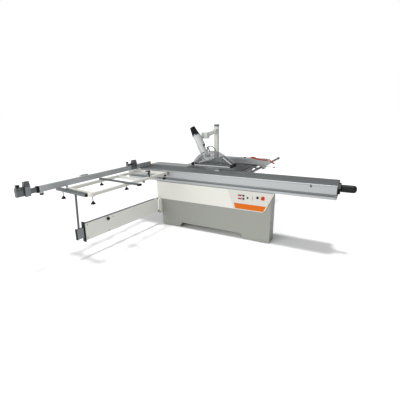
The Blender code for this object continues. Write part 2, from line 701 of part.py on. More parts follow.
# ---------------------------------------------------------------- swing arm
def swing_arm():
    """Hinge bracket with its pin, hollow arm, telescopic inner arm and the strut under the frame."""
    x, y = ARM_PIVOT
    bracket = block("arm_bracket", (-0.100, -GAP), (-0.075, 0.150), (0.195, 0.2235), BLACK_PLASTIC, "machine")
    join_round(bracket, "arm_pin", (x, y, 0.220), (x, y, 0.455), 0.012, "machine")
    cut_box(bracket, "bracket_corner", (-0.020, 0.1), (-0.2, BASE_FRONT - 0.02), (0.1, 0.3), "machine")
    z = (ARM_BOTTOM, ARM_TOP)
    arm = arm_block("swing_arm", (0.0, ARM_LENGTH), ARM_HALF_WIDTH, z, CREAM_PAINT, "swing_arm")
    join_round(arm, "arm_knuckle", (x, y, z[0]), (x, y, z[1]), ARM_HALF_WIDTH, "swing_arm")
    inside = arm_block(
        "arm_inside", (0.10, 1.50), ARM_HALF_WIDTH - 0.004, (z[0] + 0.005, z[1] - 0.005), STEEL,
        "swing_arm", collection=CUTTERS,
    )
    boolean(arm, inside)
    cut_round(arm, "arm_bore", (x, y, 0.1), (x, y, 0.6), 0.0125, "swing_arm")
    plate_along = (ARM_LENGTH + GAP, ARM_LENGTH + 0.018)
    plate = arm_block(
        "arm_end_plate", plate_along, ARM_HALF_WIDTH + 0.002, (0.211, 0.470), BLACK_PLASTIC, "swing_arm",
    )
    window = arm_block(
        "plate_window", (1.30, 1.42), INNER_HALF_WIDTH + 0.001, (0.266, 0.408), STEEL, "swing_arm",
        collection=CUTTERS,
    )
    boolean(plate, window)
    inner = arm_block(
        "inner_arm", (0.620, 1.480), INNER_HALF_WIDTH, (0.270, 0.404), GREY_PAINT, "inner_arm", 0.003,
    )
    cap = arm_block(
        "inner_arm_cap", (1.4790, 1.4880), INNER_HALF_WIDTH + 0.002, (0.266, 0.408), STEEL, "inner_arm",
        collection=CUTTERS,
    )
    boolean(inner, cap, "UNION")
    foot = arm_point(ARM_RADIUS, 0.4062)
    cylinder("support_post", foot, (-0.150, -1.502, 0.838), 0.0130, STEEL, "inner_arm")


# ---------------------------------------------------------------- tables
def main_table():
    """Cast table with the opening for the insert."""
    x = (TABLE_LEFT, TABLE_RIGHT)
    z = (TABLE_UNDERSIDE, TABLE_TOP)
    piece = block("main_table", x, (TABLE_FRONT, TABLE_BACK), z, CAST_IRON, "machine")
    cut_box(piece, "insert_room", (0.380, 1.040), (0.3, 0.580), (0.8, 1.0), "machine")
    size = ((0.3805, 1.0395), (TABLE_FRONT, 0.5795), (0.895, TABLE_TOP))
    insert = block("table_insert", *size, CAST_IRON, "machine")
    cut_box(insert, "blade_slot", (0.402, 1.000), (0.4215, 0.4420), (0.8, 1.0), "machine")
    left = TABLE_LEFT - GAP
    start, back = -0.520, 0.680
    size = ((start, left), (TABLE_FRONT, back), (0.858, TABLE_TOP))
    outfeed = block("outfeed_table", *size, SHEET_STEEL, "machine")
    inside = ((start + SHEET, left - SHEET), (TABLE_FRONT + SHEET, back - SHEET), (0.8, TABLE_TOP - SHEET))
    cut_box(outfeed, "outfeed_inside", *inside, "machine")
    y = (TABLE_BACK + GAP, EXTENSION_BACK)
    extension = block("side_extension_table", x, y, z, SHEET_STEEL, "machine")
    inside = ((x[0] + SHEET, x[1] - SHEET), (y[0] + SHEET, y[1] - SHEET), (0.8, TABLE_TOP - SHEET))
    cut_box(extension, "extension_inside", *inside, "machine")


def rip_guides():
    """Edge rail, round guide bar and its three brackets."""
    guide = block(
        "rip_guide", (TABLE_RIGHT + GAP, 1.205), (TABLE_FRONT, EXTENSION_BACK), (0.866, 0.890),
        ANODISED, "machine",
    )
    for number, y in enumerate((0.470, 1.000, 1.560)):
        bracket = ((1.200, BAR_X), (y, y + 0.030), (0.850, 0.868))
        join_box(guide, f"bar_bracket_{number}", *bracket, "machine")
    ends = ((BAR_X, 0.450, BAR_HEIGHT), (BAR_X, BAR_END - 0.040, BAR_HEIGHT))
    join_round(guide, "guide_bar", *ends, BAR_RADIUS, "machine")
    collar = ((BAR_X, BAR_END - 0.045, BAR_HEIGHT), (BAR_X, BAR_END, BAR_HEIGHT))
    join_round(guide, "bar_collar", *collar, 0.026, "machine")


def rip_fence():
    """Rip fence with its carrier on the round bar, two orange levers and a fine-adjust knob."""
    bottom = TABLE_TOP + 0.003
    y = (RIP_FRONT, RIP_BACK)
    body = block("rip_fence_body", (RIP_LEFT, RIP_RIGHT), y, (bottom, 1.000), ANODISED, "rip_fence", 0.004)
    cut_box(body, "fence_step", (0.4, 1.0), (1.120, 1.3), (0.945, 1.1), "rip_fence")
    chamber_z = (bottom + 0.006, 0.939)
    chamber_y = (y[0] + 0.006, y[1] - 0.006)
    cut_box(body, "low_chamber", (0.4, RIP_RIGHT - 0.010), chamber_y, chamber_z, "rip_fence")
    carrier_x = (1.225, 1.340)
    low = BAR_HEIGHT + BAR_RADIUS + 0.0008
    join_box(body, "bar_carrier", carrier_x, (1.075, 1.195), (low, bottom + 0.001), "rip_fence")
    join_box(body, "carrier_jaw", (1.2990, carrier_x[1]), (1.075, 1.195), (0.836, low + 0.001), "rip_fence")
    knob = ((1.338, 1.150, 0.870), (1.492, 1.150, 0.870))
    join_round(body, "adjust_rod", *knob, 0.006, "rip_fence", facets=12)
    join_round(body, "adjust_knob", (1.470, 1.150, 0.870), (1.500, 1.150, 0.870), 0.017, "rip_fence")
    wave = [
        (1.385, 0.986), (1.392, 0.995), (1.385, 1.004), (1.300, 1.003), (1.245, 1.007), (1.205, 1.020),
        (1.170, 1.034), (1.130, 1.037), (1.102, 1.029), (1.096, 1.018), (1.112, 1.011), (1.150, 1.008),
        (1.190, 1.001), (1.240, 0.992), (1.300, 0.988),
    ]
    lever = outline("rip_clamp_lever", wave, (0, 1.056, 0), 0.018, ORANGE_PLASTIC, "rip_clamp_lever")
    hub = ((1.375, 1.0692, 0.996), (1.375, 1.043, 0.996))
    join_round(lever, "lever_hub", *hub, 0.013, "rip_clamp_lever")
    lock = beam(
        "rip_lock_lever", (1.395, 1.100), (1.490, 1.060), 0.024, (0.972, 0.992), ORANGE_PLASTIC,
        "rip_lock_lever", 0.006,
    )
    lock.rotation_euler.y = math.radians(28)
    lock.location = lock.location + Vector((0.022, -0.002, -0.018))


# ---------------------------------------------------------------- guard
def guard_support():
    """Column on the floor beyond the tables, and the arm that reaches over them."""
    column = block("guard_column", COLUMN_X, COLUMN_Y, (0.004, COLUMN_TOP), CREAM_PAINT, "machine")
    foot_x = (COLUMN_X[0] - 0.05, COLUMN_X[1] + 0.05)
    foot_y = (COLUMN_Y[0] - 0.05, COLUMN_Y[1] + 0.05)
    join_box(column, "column_foot", foot_x, foot_y, (0.0, 0.014), "machine")
    tie = ((0.126, 0.166), (CABINET_BACK + GAP, COLUMN_Y[0] + 0.01), (0.700, 0.780))
    join_box(column, "column_tie", *tie, "machine")
    inside = ((COLUMN_X[0] + SHEET, COLUMN_X[1] - SHEET), (COLUMN_Y[0] + SHEET, COLUMN_Y[1] - SHEET))
    cut_box(column, "column_inside", *inside, (-0.1, COLUMN_TOP - SHEET), "machine")
    x, y, z = PIVOTS["guard_arm"][1]
    knuckle = ((x, y, z - 0.040), (x, y, z + 0.040))
    arm = cylinder("guard_arm", *knuckle, 0.036, CREAM_PAINT, "guard_arm")
    reach = beam("arm_reach", (x, y), (0.515, 0.545), 0.056, (z - 0.030, z + 0.030), STEEL, "guard_arm")
    make_cutter(reach)
    boolean(arm, reach, "UNION")
    join_box(arm, "arm_head", (0.462, 0.562), (0.500, 0.590), (z - 0.046, z + 0.048), "guard_arm")


def hood_outline(grow=0.0):
    """Side view of the guard: a round back and a straight front."""
    points = arc(HOOD_CENTRE, HOOD_RADIUS + grow, 154, 50, 18)
    return points + [(HOOD_RIGHT + grow, HOOD_BOTTOM + 0.055), (HOOD_RIGHT + grow, HOOD_BOTTOM - grow * 4),
                     (points[0][0], HOOD_BOTTOM - grow * 4)]


def duct_point(along):
    """A point on the dust duct's axis, measured up and back from the hood."""
    direction = Vector((-0.476, 0.0, 0.879)).normalized()
    return Vector((0.527, BLADE_PLANE, 1.187)) + direction * along


def guard_hood():
    """Clear hood, open below, with a hole for the dust duct."""
    width = 2 * HOOD_HALF_WIDTH
    at = (0, BLADE_PLANE, 0)
    hood = outline("guard_hood", hood_outline(), at, width, CLEAR_PLASTIC, "guard_hood")
    narrower, lower = 0.982, 0.984
    hollow = [
        (x * narrower + HOOD_CENTRE[0] * (1 - narrower), z * lower + (HOOD_BOTTOM - 0.02) * (1 - lower))
        for x, z in hood_outline()
    ]
    hollow[-1] = (hollow[-1][0], HOOD_BOTTOM - 0.05)
    hollow[-2] = (hollow[-2][0], HOOD_BOTTOM - 0.05)
    inside = outline(
        "hood_inside", hollow, at, width - 2 * HOOD_WALL, STEEL, "guard_hood", collection=CUTTERS,
    )
    boolean(hood, inside)
    cut_round(hood, "duct_hole", duct_point(-0.09), duct_point(0.2), 0.046, "guard_hood", FINE)


def dust_duct():
    """Round duct on the hood with a tapered rubber cuff on its end."""
    duct = cylinder(
        "dust_duct", duct_point(-0.090), duct_point(0.254), 0.055, CLEAR_PLASTIC, "guard_hood", facets=32,
    )
    room = outline(
        "hood_room", hood_outline(0.0012), (0, BLADE_PLANE, 0), 0.2, STEEL, "guard_hood", collection=CUTTERS,
    )
    boolean(duct, room)
    cut_round(duct, "duct_bore", duct_point(-0.2), duct_point(0.5), 0.051, "guard_hood", 32)
    cuff = cylinder(
        "duct_cuff", duct_point(0.2544), duct_point(0.395), 0.060, RUBBER, "guard_hood", 0.040, 32
    )
    cut_round(cuff, "cuff_bore", duct_point(0.2), duct_point(0.5), 0.036, "guard_hood", 32)


def guard_fittings():
    """Arched handle on the hood and the slide rod that carries it on the arm."""
    points = []
    for x, z in arc((0.660, 1.165), 0.0885, 140, 14, 10):
        points.append((x, BLADE_PLANE, z))
    bent_tube("guard_handle", points, 0.007, STEEL, "guard_hood")


# ---------------------------------------------------------------- saw unit
def saw_unit():
    """Tilting frame, lifting motor carriage, scoring blade and riving knife."""
    y = BLADE_PLANE
    bar_y = (y + 0.048, y + 0.078)
    frame = block("tilt_frame", (0.520, 0.560), bar_y, (0.240, 0.760), CAST_IRON, "tilt")
    join_box(frame, "frame_bar", (0.520, 0.800), bar_y, (0.240, 0.280), "tilt")
    join_box(frame, "frame_post", (0.760, 0.800), bar_y, (0.240, 0.740), "tilt")
    join_box(frame, "scoring_bar", (0.760, 0.930), (y + 0.012, bar_y[1]), (0.690, 0.730), "tilt")
    join_box(frame, "scoring_post", (0.905, 0.930), (y + 0.012, y + 0.036), (0.690, 0.852), "tilt")
    x, _, z = PIVOTS["scoring"][1]
    cylinder("scoring_blade", (x, y - 0.0016, z), (x, y + 0.0016, z), 0.060, STEEL, "scoring", facets=FINE)
    low = MOTOR_HEIGHT
    motor = cylinder(
        "saw_motor", (BLADE_X, y + 0.046, low), (BLADE_X, y + 0.172, low), 0.075, MOTOR_PAINT, "lift",
        facets=32,
    )
    join_box(motor, "motor_plate", (0.625, 0.695), (y + 0.046, y + 0.066), (low, BLADE_HEIGHT), "lift")
    housing = ((BLADE_X, y + 0.040, BLADE_HEIGHT), (BLADE_X, y + 0.072, BLADE_HEIGHT))
    join_round(motor, "arbor_housing", *housing, 0.030, "lift")
    bore = ((BLADE_X, 0.4, BLADE_HEIGHT), (BLADE_X, 0.7, BLADE_HEIGHT))
    cut_round(motor, "housing_bore", *bore, 0.0155, "lift")
    knife = [(0.412, 0.780), (0.432, 0.925), (0.450, 0.925), (0.447, 0.780), (0.468, 0.660), (0.440, 0.660)]
    outline("riving_knife", knife, (0, y, 0), 0.003, STEEL, "lift")


def rotating_parts():
    """Blade, arbor with its pulley, motor pulley and the belt round them."""
    y = BLADE_PLANE
    half = BLADE_THICKNESS / 2
    z = BLADE_HEIGHT
    faces = ((BLADE_X, y - half, z), (BLADE_X, y + half, z))
    blade = cylinder("main_blade", *faces, BLADE_RADIUS, STEEL, "arbor", facets=60)
    cut_round(blade, "blade_bore", (BLADE_X, 0.3, z), (BLADE_X, 0.5, z), 0.0155, "arbor")
    arbor = cylinder("saw_arbor", (BLADE_X, y - 0.012, z), (BLADE_X, y + 0.076, z), 0.0150, STEEL, "arbor")
    join_round(arbor, "outer_nut", (BLADE_X, y - 0.014, z), (BLADE_X, y - half - GAP, z), 0.040, "arbor")
    join_round(arbor, "inner_flange", (BLADE_X, y + half + GAP, z), (BLADE_X, y + 0.012, z), 0.050, "arbor")
    pulley_ends = ((BLADE_X, y + 0.014, z), (BLADE_X, y + 0.038, z))
    join_round(arbor, "arbor_pulley", *pulley_ends, 0.032, "arbor", facets=32)
    low = MOTOR_HEIGHT
    hub = ((BLADE_X, y + 0.014, low), (BLADE_X, y + 0.0455, low))
    pulley = cylinder("motor_pulley", *hub, 0.020, STEEL, "motor_pulley")
    rim_ends = ((BLADE_X, y + 0.014, low), (BLADE_X, y + 0.038, low))
    join_round(pulley, "pulley_rim", *rim_ends, 0.048, "motor_pulley", facets=32)
    belt_sides = belt_outline(z, low, 0.0375, 0.0535)
    belt = outline("drive_belt", belt_sides, (BLADE_X, y + 0.026, 0), 0.020, RUBBER, "lift")
    inner = belt_outline(z, low, 0.0330, 0.0490)
    boolean(belt, outline("belt_inside", inner, (BLADE_X, y, 0), 0.5, STEEL, "lift", collection=CUTTERS))


def belt_outline(high, low, top_radius, low_radius):
    """Belt line round two pulleys, one above the other, with tangent sides."""
    lean = math.degrees(math.asin((low_radius - top_radius) / (high - low)))
    over = arc((0.0, high), top_radius, lean, 180 - lean, 12)
    under = arc((0.0, low), low_radius, 180 - lean, 360 + lean, 16)
    return over + under


make_pivots()
front_pedestal()
main_cabinet()
cabinet_door()
front_cover()
control_panel()
push_buttons()
guide_rail()
roller_cage()
rail_lock_knob()
sliding_carriage()
carriage_fittings()
outrigger_frame()
clamp_rails()
clamp_knobs()
material_clamp()
crosscut_fence()
fence_extension()
fence_stops()
swing_arm()
main_table()
rip_guides()
rip_fence()
guard_support()
guard_hood()
dust_duct()
guard_fittings()
saw_unit()
rotating_parts()
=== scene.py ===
import json
import math

import bmesh
import bpy
from mathutils import Matrix, Vector


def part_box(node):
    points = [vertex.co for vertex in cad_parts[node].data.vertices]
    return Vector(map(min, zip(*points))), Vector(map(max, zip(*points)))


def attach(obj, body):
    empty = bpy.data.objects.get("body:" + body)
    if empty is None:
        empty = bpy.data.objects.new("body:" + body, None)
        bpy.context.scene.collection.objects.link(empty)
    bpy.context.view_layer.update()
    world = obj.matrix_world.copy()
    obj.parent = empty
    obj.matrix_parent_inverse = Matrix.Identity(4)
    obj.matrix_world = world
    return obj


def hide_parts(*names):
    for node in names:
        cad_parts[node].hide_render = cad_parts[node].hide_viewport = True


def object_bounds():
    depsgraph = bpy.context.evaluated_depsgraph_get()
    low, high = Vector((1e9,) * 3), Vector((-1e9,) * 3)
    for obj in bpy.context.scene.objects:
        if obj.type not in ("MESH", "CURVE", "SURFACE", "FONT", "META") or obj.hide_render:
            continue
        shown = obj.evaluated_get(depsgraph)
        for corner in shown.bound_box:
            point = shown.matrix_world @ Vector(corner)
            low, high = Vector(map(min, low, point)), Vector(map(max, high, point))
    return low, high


# %% [markdown]
# # A sliding-table panel saw
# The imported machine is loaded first. Its parts already ride on their bodies, so this file only gives them
# their finishes and adds the small pieces that a maker would screw, press or clip on.

# %% The machine and its box
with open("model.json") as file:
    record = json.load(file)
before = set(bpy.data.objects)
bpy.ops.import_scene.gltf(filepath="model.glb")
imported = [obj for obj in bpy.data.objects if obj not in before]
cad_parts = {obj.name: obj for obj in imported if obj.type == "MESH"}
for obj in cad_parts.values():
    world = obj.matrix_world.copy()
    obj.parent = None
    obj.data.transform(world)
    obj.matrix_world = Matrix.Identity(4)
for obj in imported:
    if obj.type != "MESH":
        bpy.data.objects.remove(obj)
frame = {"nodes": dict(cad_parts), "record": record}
cad_low, cad_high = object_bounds()
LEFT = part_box("front_pedestal")[0].x
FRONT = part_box("sliding_carriage")[0].y
print("machine", [round(v, 3) for v in cad_high - cad_low])


def spot(x, y, z):
    """A place measured from the pedestal's left end, the carriage's near face and the floor."""
    return Vector((LEFT + x, FRONT + y, z))


# %% [markdown]
# ## Camera
# A long machine is taken from its right-hand end, a little above the table, with a mild wide lens. The
# camera is turned about its own line of sight by half a degree, because a hand-held camera is never
# quite level.

# %% Camera
CAMERA_PLACE = spot(2.7432, -3.8034, 1.736)
YAW, PITCH, ROLL = 0.494, 0.2794, -0.0102
camera_data = bpy.data.cameras.new("camera")
camera_data.lens = 27.0
camera_data.sensor_width = 36.0
camera = bpy.data.objects.new("camera", camera_data)
bpy.context.scene.collection.objects.link(camera)
turn = Matrix.Rotation(YAW, 4, "Z") @ Matrix.Rotation(math.pi / 2 - PITCH, 4, "X")
camera.matrix_world = Matrix.Translation(CAMERA_PLACE) @ turn @ Matrix.Rotation(ROLL, 4, "Z")
bpy.context.scene.camera = camera
bpy.context.scene.view_settings.view_transform = "Standard"
print("camera at", [round(v, 2) for v in CAMERA_PLACE])

# %% [markdown]
# ## Finishes
# A material is a small tree of nodes. One helper adds a node with its settings and links. Colours are
# written as the sRGB hex values of a paint chart and turned to linear light by one function. Patterns
# use Object coordinates, which are metres here, so a scale of 1000 / size gives features of that size
# in millimetres.


# %% Colour and node helpers
def linear(code):
    """An sRGB hex colour as the linear red, green, blue and alpha that a shader needs."""
    parts = [int(code[i:i + 2], 16) / 255 for i in (0, 2, 4)]
    return tuple(p / 12.92 if p <= 0.04045 else ((p + 0.055) / 1.055) ** 2.4 for p in parts) + (1.0,)


def add(tree, kind, values=None, links=None, **settings):
    """Adds a node, sets its settings and unlinked inputs, and links the named inputs from other sockets."""
    made = tree.nodes.new(kind)
    for key, value in settings.items():
        setattr(made, key, value)
    for key, value in (values or {}).items():
        made.inputs[key].default_value = value
    for key, source in (links or {}).items():
        tree.links.new(source, made.inputs[key])
    return made


def started(name, values):
    """A new material with a Principled shader, whose even values sit on its own sockets."""
    made = bpy.data.materials.new(name)
    made.use_nodes = True
    shader = made.node_tree.nodes["Principled BSDF"]
    for key, value in values.items():
        shader.inputs[key].default_value = value
    place = add(made.node_tree, "ShaderNodeTexCoord").outputs["Object"]
    return made, made.node_tree, shader, place


def per_mm(size):
    """The texture scale that gives features of this size in millimetres on coordinates in metres."""
    return 1000.0 / size


# %% [markdown]
# ### Paint and plastic
# Powder coat is sprayed on as dust and melts into a skin with a faint orange peel about 2 mm across.
# Moulded plastic copies a spark-eroded mould, so its grain is finer and rougher. Both are the same
# three steps: slow cloudy colour, a peel or grain for the bump, and the same grain in the roughness.


# %% Coated and moulded finishes
def coated(name, shade, roughness, grain, depth, drift=0.03, **values):
    """An even skin: colour that drifts a little over half a metre, and a grain of the given size in mm."""
    made, tree, shader, place = started(name, values)
    cloud = add(tree, "ShaderNodeTexNoise", {"Scale": per_mm(450), "Detail": 3.0}, {"Vector": place})
    dark = tuple(c * (1 - drift) for c in linear(shade)[:3]) + (1.0,)
    light = tuple(min(1.0, c * (1 + drift)) for c in linear(shade)[:3]) + (1.0,)
    tone = add(tree, "ShaderNodeMix", data_type="RGBA")
    tone.inputs[6].default_value, tone.inputs[7].default_value = dark, light
    tree.links.new(cloud.outputs["Fac"], tone.inputs[0])
    tree.links.new(tone.outputs[2], shader.inputs["Base Color"])
    peel = add(tree, "ShaderNodeTexNoise", {"Scale": per_mm(grain), "Detail": 2.0}, {"Vector": place})
    rough = add(tree, "ShaderNodeMapRange", {"To Min": roughness - 0.05, "To Max": roughness + 0.05},
                {"Value": peel.outputs["Fac"]})
    tree.links.new(rough.outputs["Result"], shader.inputs["Roughness"])
    bump = add(tree, "ShaderNodeBump", {"Strength": 0.35, "Distance": depth / 1000},
               {"Height": peel.outputs["Fac"]})
    tree.links.new(bump.outputs["Normal"], shader.inputs["Normal"])
    return made


SPEC = "Specular IOR Level"
# The pedestal and cabinet: textured powder coat, a warm grey that hides sawdust; 3 mm peel so that it
# shows.
GREY_POWDER_COAT = coated("textured_powder_coat_grey", "8A8C85", 0.55, 3.0, 0.25, 0.03, **{SPEC: 0.30})
# The cover, arm and outrigger tubes: smooth powder coat, off white, a little glossier.
CREAM_POWDER_COAT = coated("smooth_powder_coat_cream", "CCCCC5", 0.42, 4.0, 0.12, 0.02, **{SPEC: 0.35})
# The swing arm: the same cream coat, painted whiter as painted light that stands in for the light on its side.
LIT_CREAM_POWDER_COAT = coated("smooth_powder_coat_cream_painted_light", "DADAD4", 0.42, 4.0, 0.12, 0.02, **{SPEC: 0.35})
# The column and guard arm: the same coat, a shade greyer.
PALE_POWDER_COAT = coated("smooth_powder_coat_pale_grey", "BFC1BB", 0.45, 4.0, 0.12, 0.02, **{SPEC: 0.35})
# Knobs, caps and grips: glass-filled nylon, near black, with the fine grain of an eroded mould.
BLACK_NYLON = coated("glass_filled_nylon_black", "08090A", 0.46, 1.2, 0.10, 0.06, **{SPEC: 0.22})
# Cover foil of the control panel: printed polyester, smooth and slightly glossy.
PANEL_FOIL = coated("printed_polyester_foil", "BEBDB6", 0.30, 8.0, 0.02, 0.01)
# The stripe on the panel: orange printed foil.
ORANGE_FOIL = coated("printed_orange_foil", "C25F06", 0.45, 8.0, 0.02, 0.02, **{SPEC: 0.15})
# Levers of the rip fence: orange enamel on die-cast zinc, glossy.
ORANGE_ENAMEL = coated("orange_enamel_on_zinc", "A83404", 0.40, 5.0, 0.08, 0.03, **{SPEC: 0.20})
# The fence's inner tip, which the blade may touch: soft tan ABS.
TAN_ABS = coated("moulded_abs_tan", "B98A52", 0.50, 1.5, 0.05)
# The main switch's grip: red moulded ABS.
RED_ABS = coated("moulded_abs_red", "B01814", 0.35, 1.5, 0.05)
# The plate behind the switch: yellow ABS, the usual colour round an emergency stop.
YELLOW_ABS = coated("moulded_abs_yellow", "E39A12", 0.36, 1.5, 0.05)
# The extraction duct: pale rigid PVC, slightly glossy, extruded.
PALE_PVC = coated("rigid_pvc_pale", "B9BCBA", 0.30, 6.0, 0.06)
# The cuff on the duct: EPDM rubber, dull black.
BLACK_RUBBER = coated("epdm_rubber_black", "070708", 0.70, 1.0, 0.12, 0.08, **{SPEC: 0.18})
# The motor: hammered machine enamel, blue grey; the hammer dimples are about 4 mm.
MOTOR_ENAMEL = coated("hammered_enamel_blue_grey", "3D4A52", 0.38, 4.0, 0.45, 0.05)
# Tables beside the cast one: smooth grey enamel on folded sheet.
TABLE_ENAMEL = coated("table_enamel_light_grey", "7E8281", 0.42, 3.0, 0.06, 0.03)

# %% [markdown]
# ### Metal
# An extruded and anodised profile has fine lines along its length from the die, under a satin oxide.
# Rolled, ground or turned steel has the same kind of lines in its own direction. The lines are noise
# stretched along one axis: its scale is small along the line and large across it.


# %% Drawn, ground and brushed metals
def drawn(name, shade, roughness, line, depth, along=0, metallic=1.0, drift=0.08):
    """A metal with lines of the given width in mm that run along one axis (0, 1 or 2)."""
    made, tree, shader, place = started(name, {"Metallic": metallic})
    scale = [per_mm(line)] * 3
    scale[along] = per_mm(400)
    stretch = add(tree, "ShaderNodeMapping", {"Scale": scale}, {"Vector": place})
    lines = add(tree, "ShaderNodeTexNoise", {"Scale": 1.0, "Detail": 4.0},
                {"Vector": stretch.outputs["Vector"]})
    dark = tuple(c * (1 - drift) for c in linear(shade)[:3]) + (1.0,)
    light = tuple(min(1.0, c * (1 + drift)) for c in linear(shade)[:3]) + (1.0,)
    tone = add(tree, "ShaderNodeMix", data_type="RGBA")
    tone.inputs[6].default_value, tone.inputs[7].default_value = dark, light
    tree.links.new(lines.outputs["Fac"], tone.inputs[0])
    tree.links.new(tone.outputs[2], shader.inputs["Base Color"])
    rough = add(tree, "ShaderNodeMapRange", {"To Min": roughness - 0.06, "To Max": roughness + 0.08},
                {"Value": lines.outputs["Fac"]})
    tree.links.new(rough.outputs["Result"], shader.inputs["Roughness"])
    bump = add(tree, "ShaderNodeBump", {"Strength": 0.25, "Distance": depth / 1000},
               {"Height": lines.outputs["Fac"]})
    tree.links.new(bump.outputs["Normal"], shader.inputs["Normal"])
    return made


# Carriage and rail: anodised aluminium, satin; die lines drawn at 2 mm so that they show from across
# the room.
ANODISED_ALONG = drawn("anodised_aluminium_lengthwise", "9EA1A2", 0.40, 2.0, 0.05, 0, 0.75)
# The fence: the same profile, but it runs across the machine.
ANODISED_ACROSS = drawn("anodised_aluminium_crosswise", "AFB3B5", 0.42, 2.0, 0.05, 1, 0.55)
# The guard's handle: dark oiled steel, 1.5 mm lines from bending.
DARK_STEEL = drawn("oiled_steel_dark", "54585A", 0.42, 1.5, 0.03, 1, 0.4)
# The grey rails across the frame: a darker anodised profile, with lines 2 mm wide.
DARK_ACROSS = drawn("anodised_aluminium_rails", "646969", 0.42, 2.0, 0.05, 0, 0.6)
# The carriage's tread: the same anodised aluminium painted darker, as painted shade on the carriage's top, with
# lines 3 mm wide that soften its ribs; the strip in the rail's recess takes it too.
SHADED_ANODISED = drawn("anodised_aluminium_painted_shade", "6C7070", 0.42, 3.0, 0.06, 0, 0.6)
# Turned and ground steel: pins, rods, screws; 0.8 mm lines.
BRIGHT_STEEL = drawn("ground_steel_bright", "9A9C9E", 0.25, 0.8, 0.02, 1)
# Zinc-plated sheet: hinges, brackets and screws, a little duller.
ZINC_PLATE = drawn("zinc_plated_steel", "74787B", 0.34, 1.5, 0.03, 0)

# %% [markdown]
# ### Cast iron
# A cast table is planed and then ground. What the eye sees is a dark grey metal with long grinding
# lines that are crossed by soft darker clouds, where graphite lies in the iron. Two patterns are mixed:
# lines for the grinding, and a slow noise for the clouds.

# %% Ground cast iron
CAST_IRON, iron, iron_shader, iron_place = started("ground_cast_iron", {"Metallic": 0.85})
iron_lines = add(iron, "ShaderNodeMapping", {"Scale": (per_mm(300), per_mm(2.5), per_mm(2.5))},
                 {"Vector": iron_place})
grinding = add(iron, "ShaderNodeTexNoise", {"Scale": 1.0, "Detail": 3.0},
               {"Vector": iron_lines.outputs["Vector"]})
graphite = add(iron, "ShaderNodeTexNoise", {"Scale": per_mm(120), "Detail": 5.0}, {"Vector": iron_place})
both = add(iron, "ShaderNodeMath", {}, {0: grinding.outputs["Fac"], 1: graphite.outputs["Fac"]},
           operation="MULTIPLY")
iron_tone = add(iron, "ShaderNodeMapRange", {"From Min": 0.12, "From Max": 0.42},
                {"Value": both.outputs["Value"]})
iron_mix = add(iron, "ShaderNodeMix", {}, {0: iron_tone.outputs["Result"]}, data_type="RGBA")
iron_mix.inputs[6].default_value, iron_mix.inputs[7].default_value = linear("282B2D"), linear("414547")
iron.links.new(iron_mix.outputs[2], iron_shader.inputs["Base Color"])
iron_rough = add(iron, "ShaderNodeMapRange", {"To Min": 0.30, "To Max": 0.48},
                 {"Value": graphite.outputs["Fac"]})
iron.links.new(iron_rough.outputs["Result"], iron_shader.inputs["Roughness"])
iron_bump = add(iron, "ShaderNodeBump", {"Strength": 0.25, "Distance": 0.00005},
                {"Height": grinding.outputs["Fac"]})
iron.links.new(iron_bump.outputs["Normal"], iron_shader.inputs["Normal"])

# %% [markdown]
# ### Clear and lit plastic
# The hood is polycarbonate: clear, faintly grey, with wipe marks. A sheet of glass shader twice over
# would look like water, so the walls are thin, light passes nearly straight, and the wipe marks sit in
# the roughness. The readouts are red lamps behind dark acrylic, so the shader gives a little light of
# its own.

# %% Polycarbonate and readouts
CLEAR_HOOD, hood_tree, hood_shader, hood_place = started(
    "polycarbonate_clear", {"Base Color": linear("5A5F61"), "IOR": 1.58, "Alpha": 0.30, SPEC: 0.35})
wipes = add(hood_tree, "ShaderNodeTexNoise", {"Scale": per_mm(60), "Detail": 4.0, "Distortion": 0.6},
            {"Vector": hood_place})
wiped = add(hood_tree, "ShaderNodeMapRange", {"To Min": 0.08, "To Max": 0.26},
            {"Value": wipes.outputs["Fac"]})
hood_tree.links.new(wiped.outputs["Result"], hood_shader.inputs["Roughness"])

RED_LAMP, lamp_tree, lamp_shader, lamp_place = started(
    "red_acrylic_readout", {"Base Color": linear("8C0F12"), "Roughness": 0.18, "Emission Strength": 0.35})
segments = add(lamp_tree, "ShaderNodeTexNoise", {"Scale": per_mm(6), "Detail": 1.0}, {"Vector": lamp_place})
lamp_mix = add(lamp_tree, "ShaderNodeMix", {}, {0: segments.outputs["Fac"]}, data_type="RGBA")
lamp_mix.inputs[6].default_value, lamp_mix.inputs[7].default_value = linear("B8161A"), linear("E02A24")
lamp_tree.links.new(lamp_mix.outputs[2], lamp_shader.inputs["Emission Color"])

# %% [markdown]
# ## Finishes of the machine's own parts
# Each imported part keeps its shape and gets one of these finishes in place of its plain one.

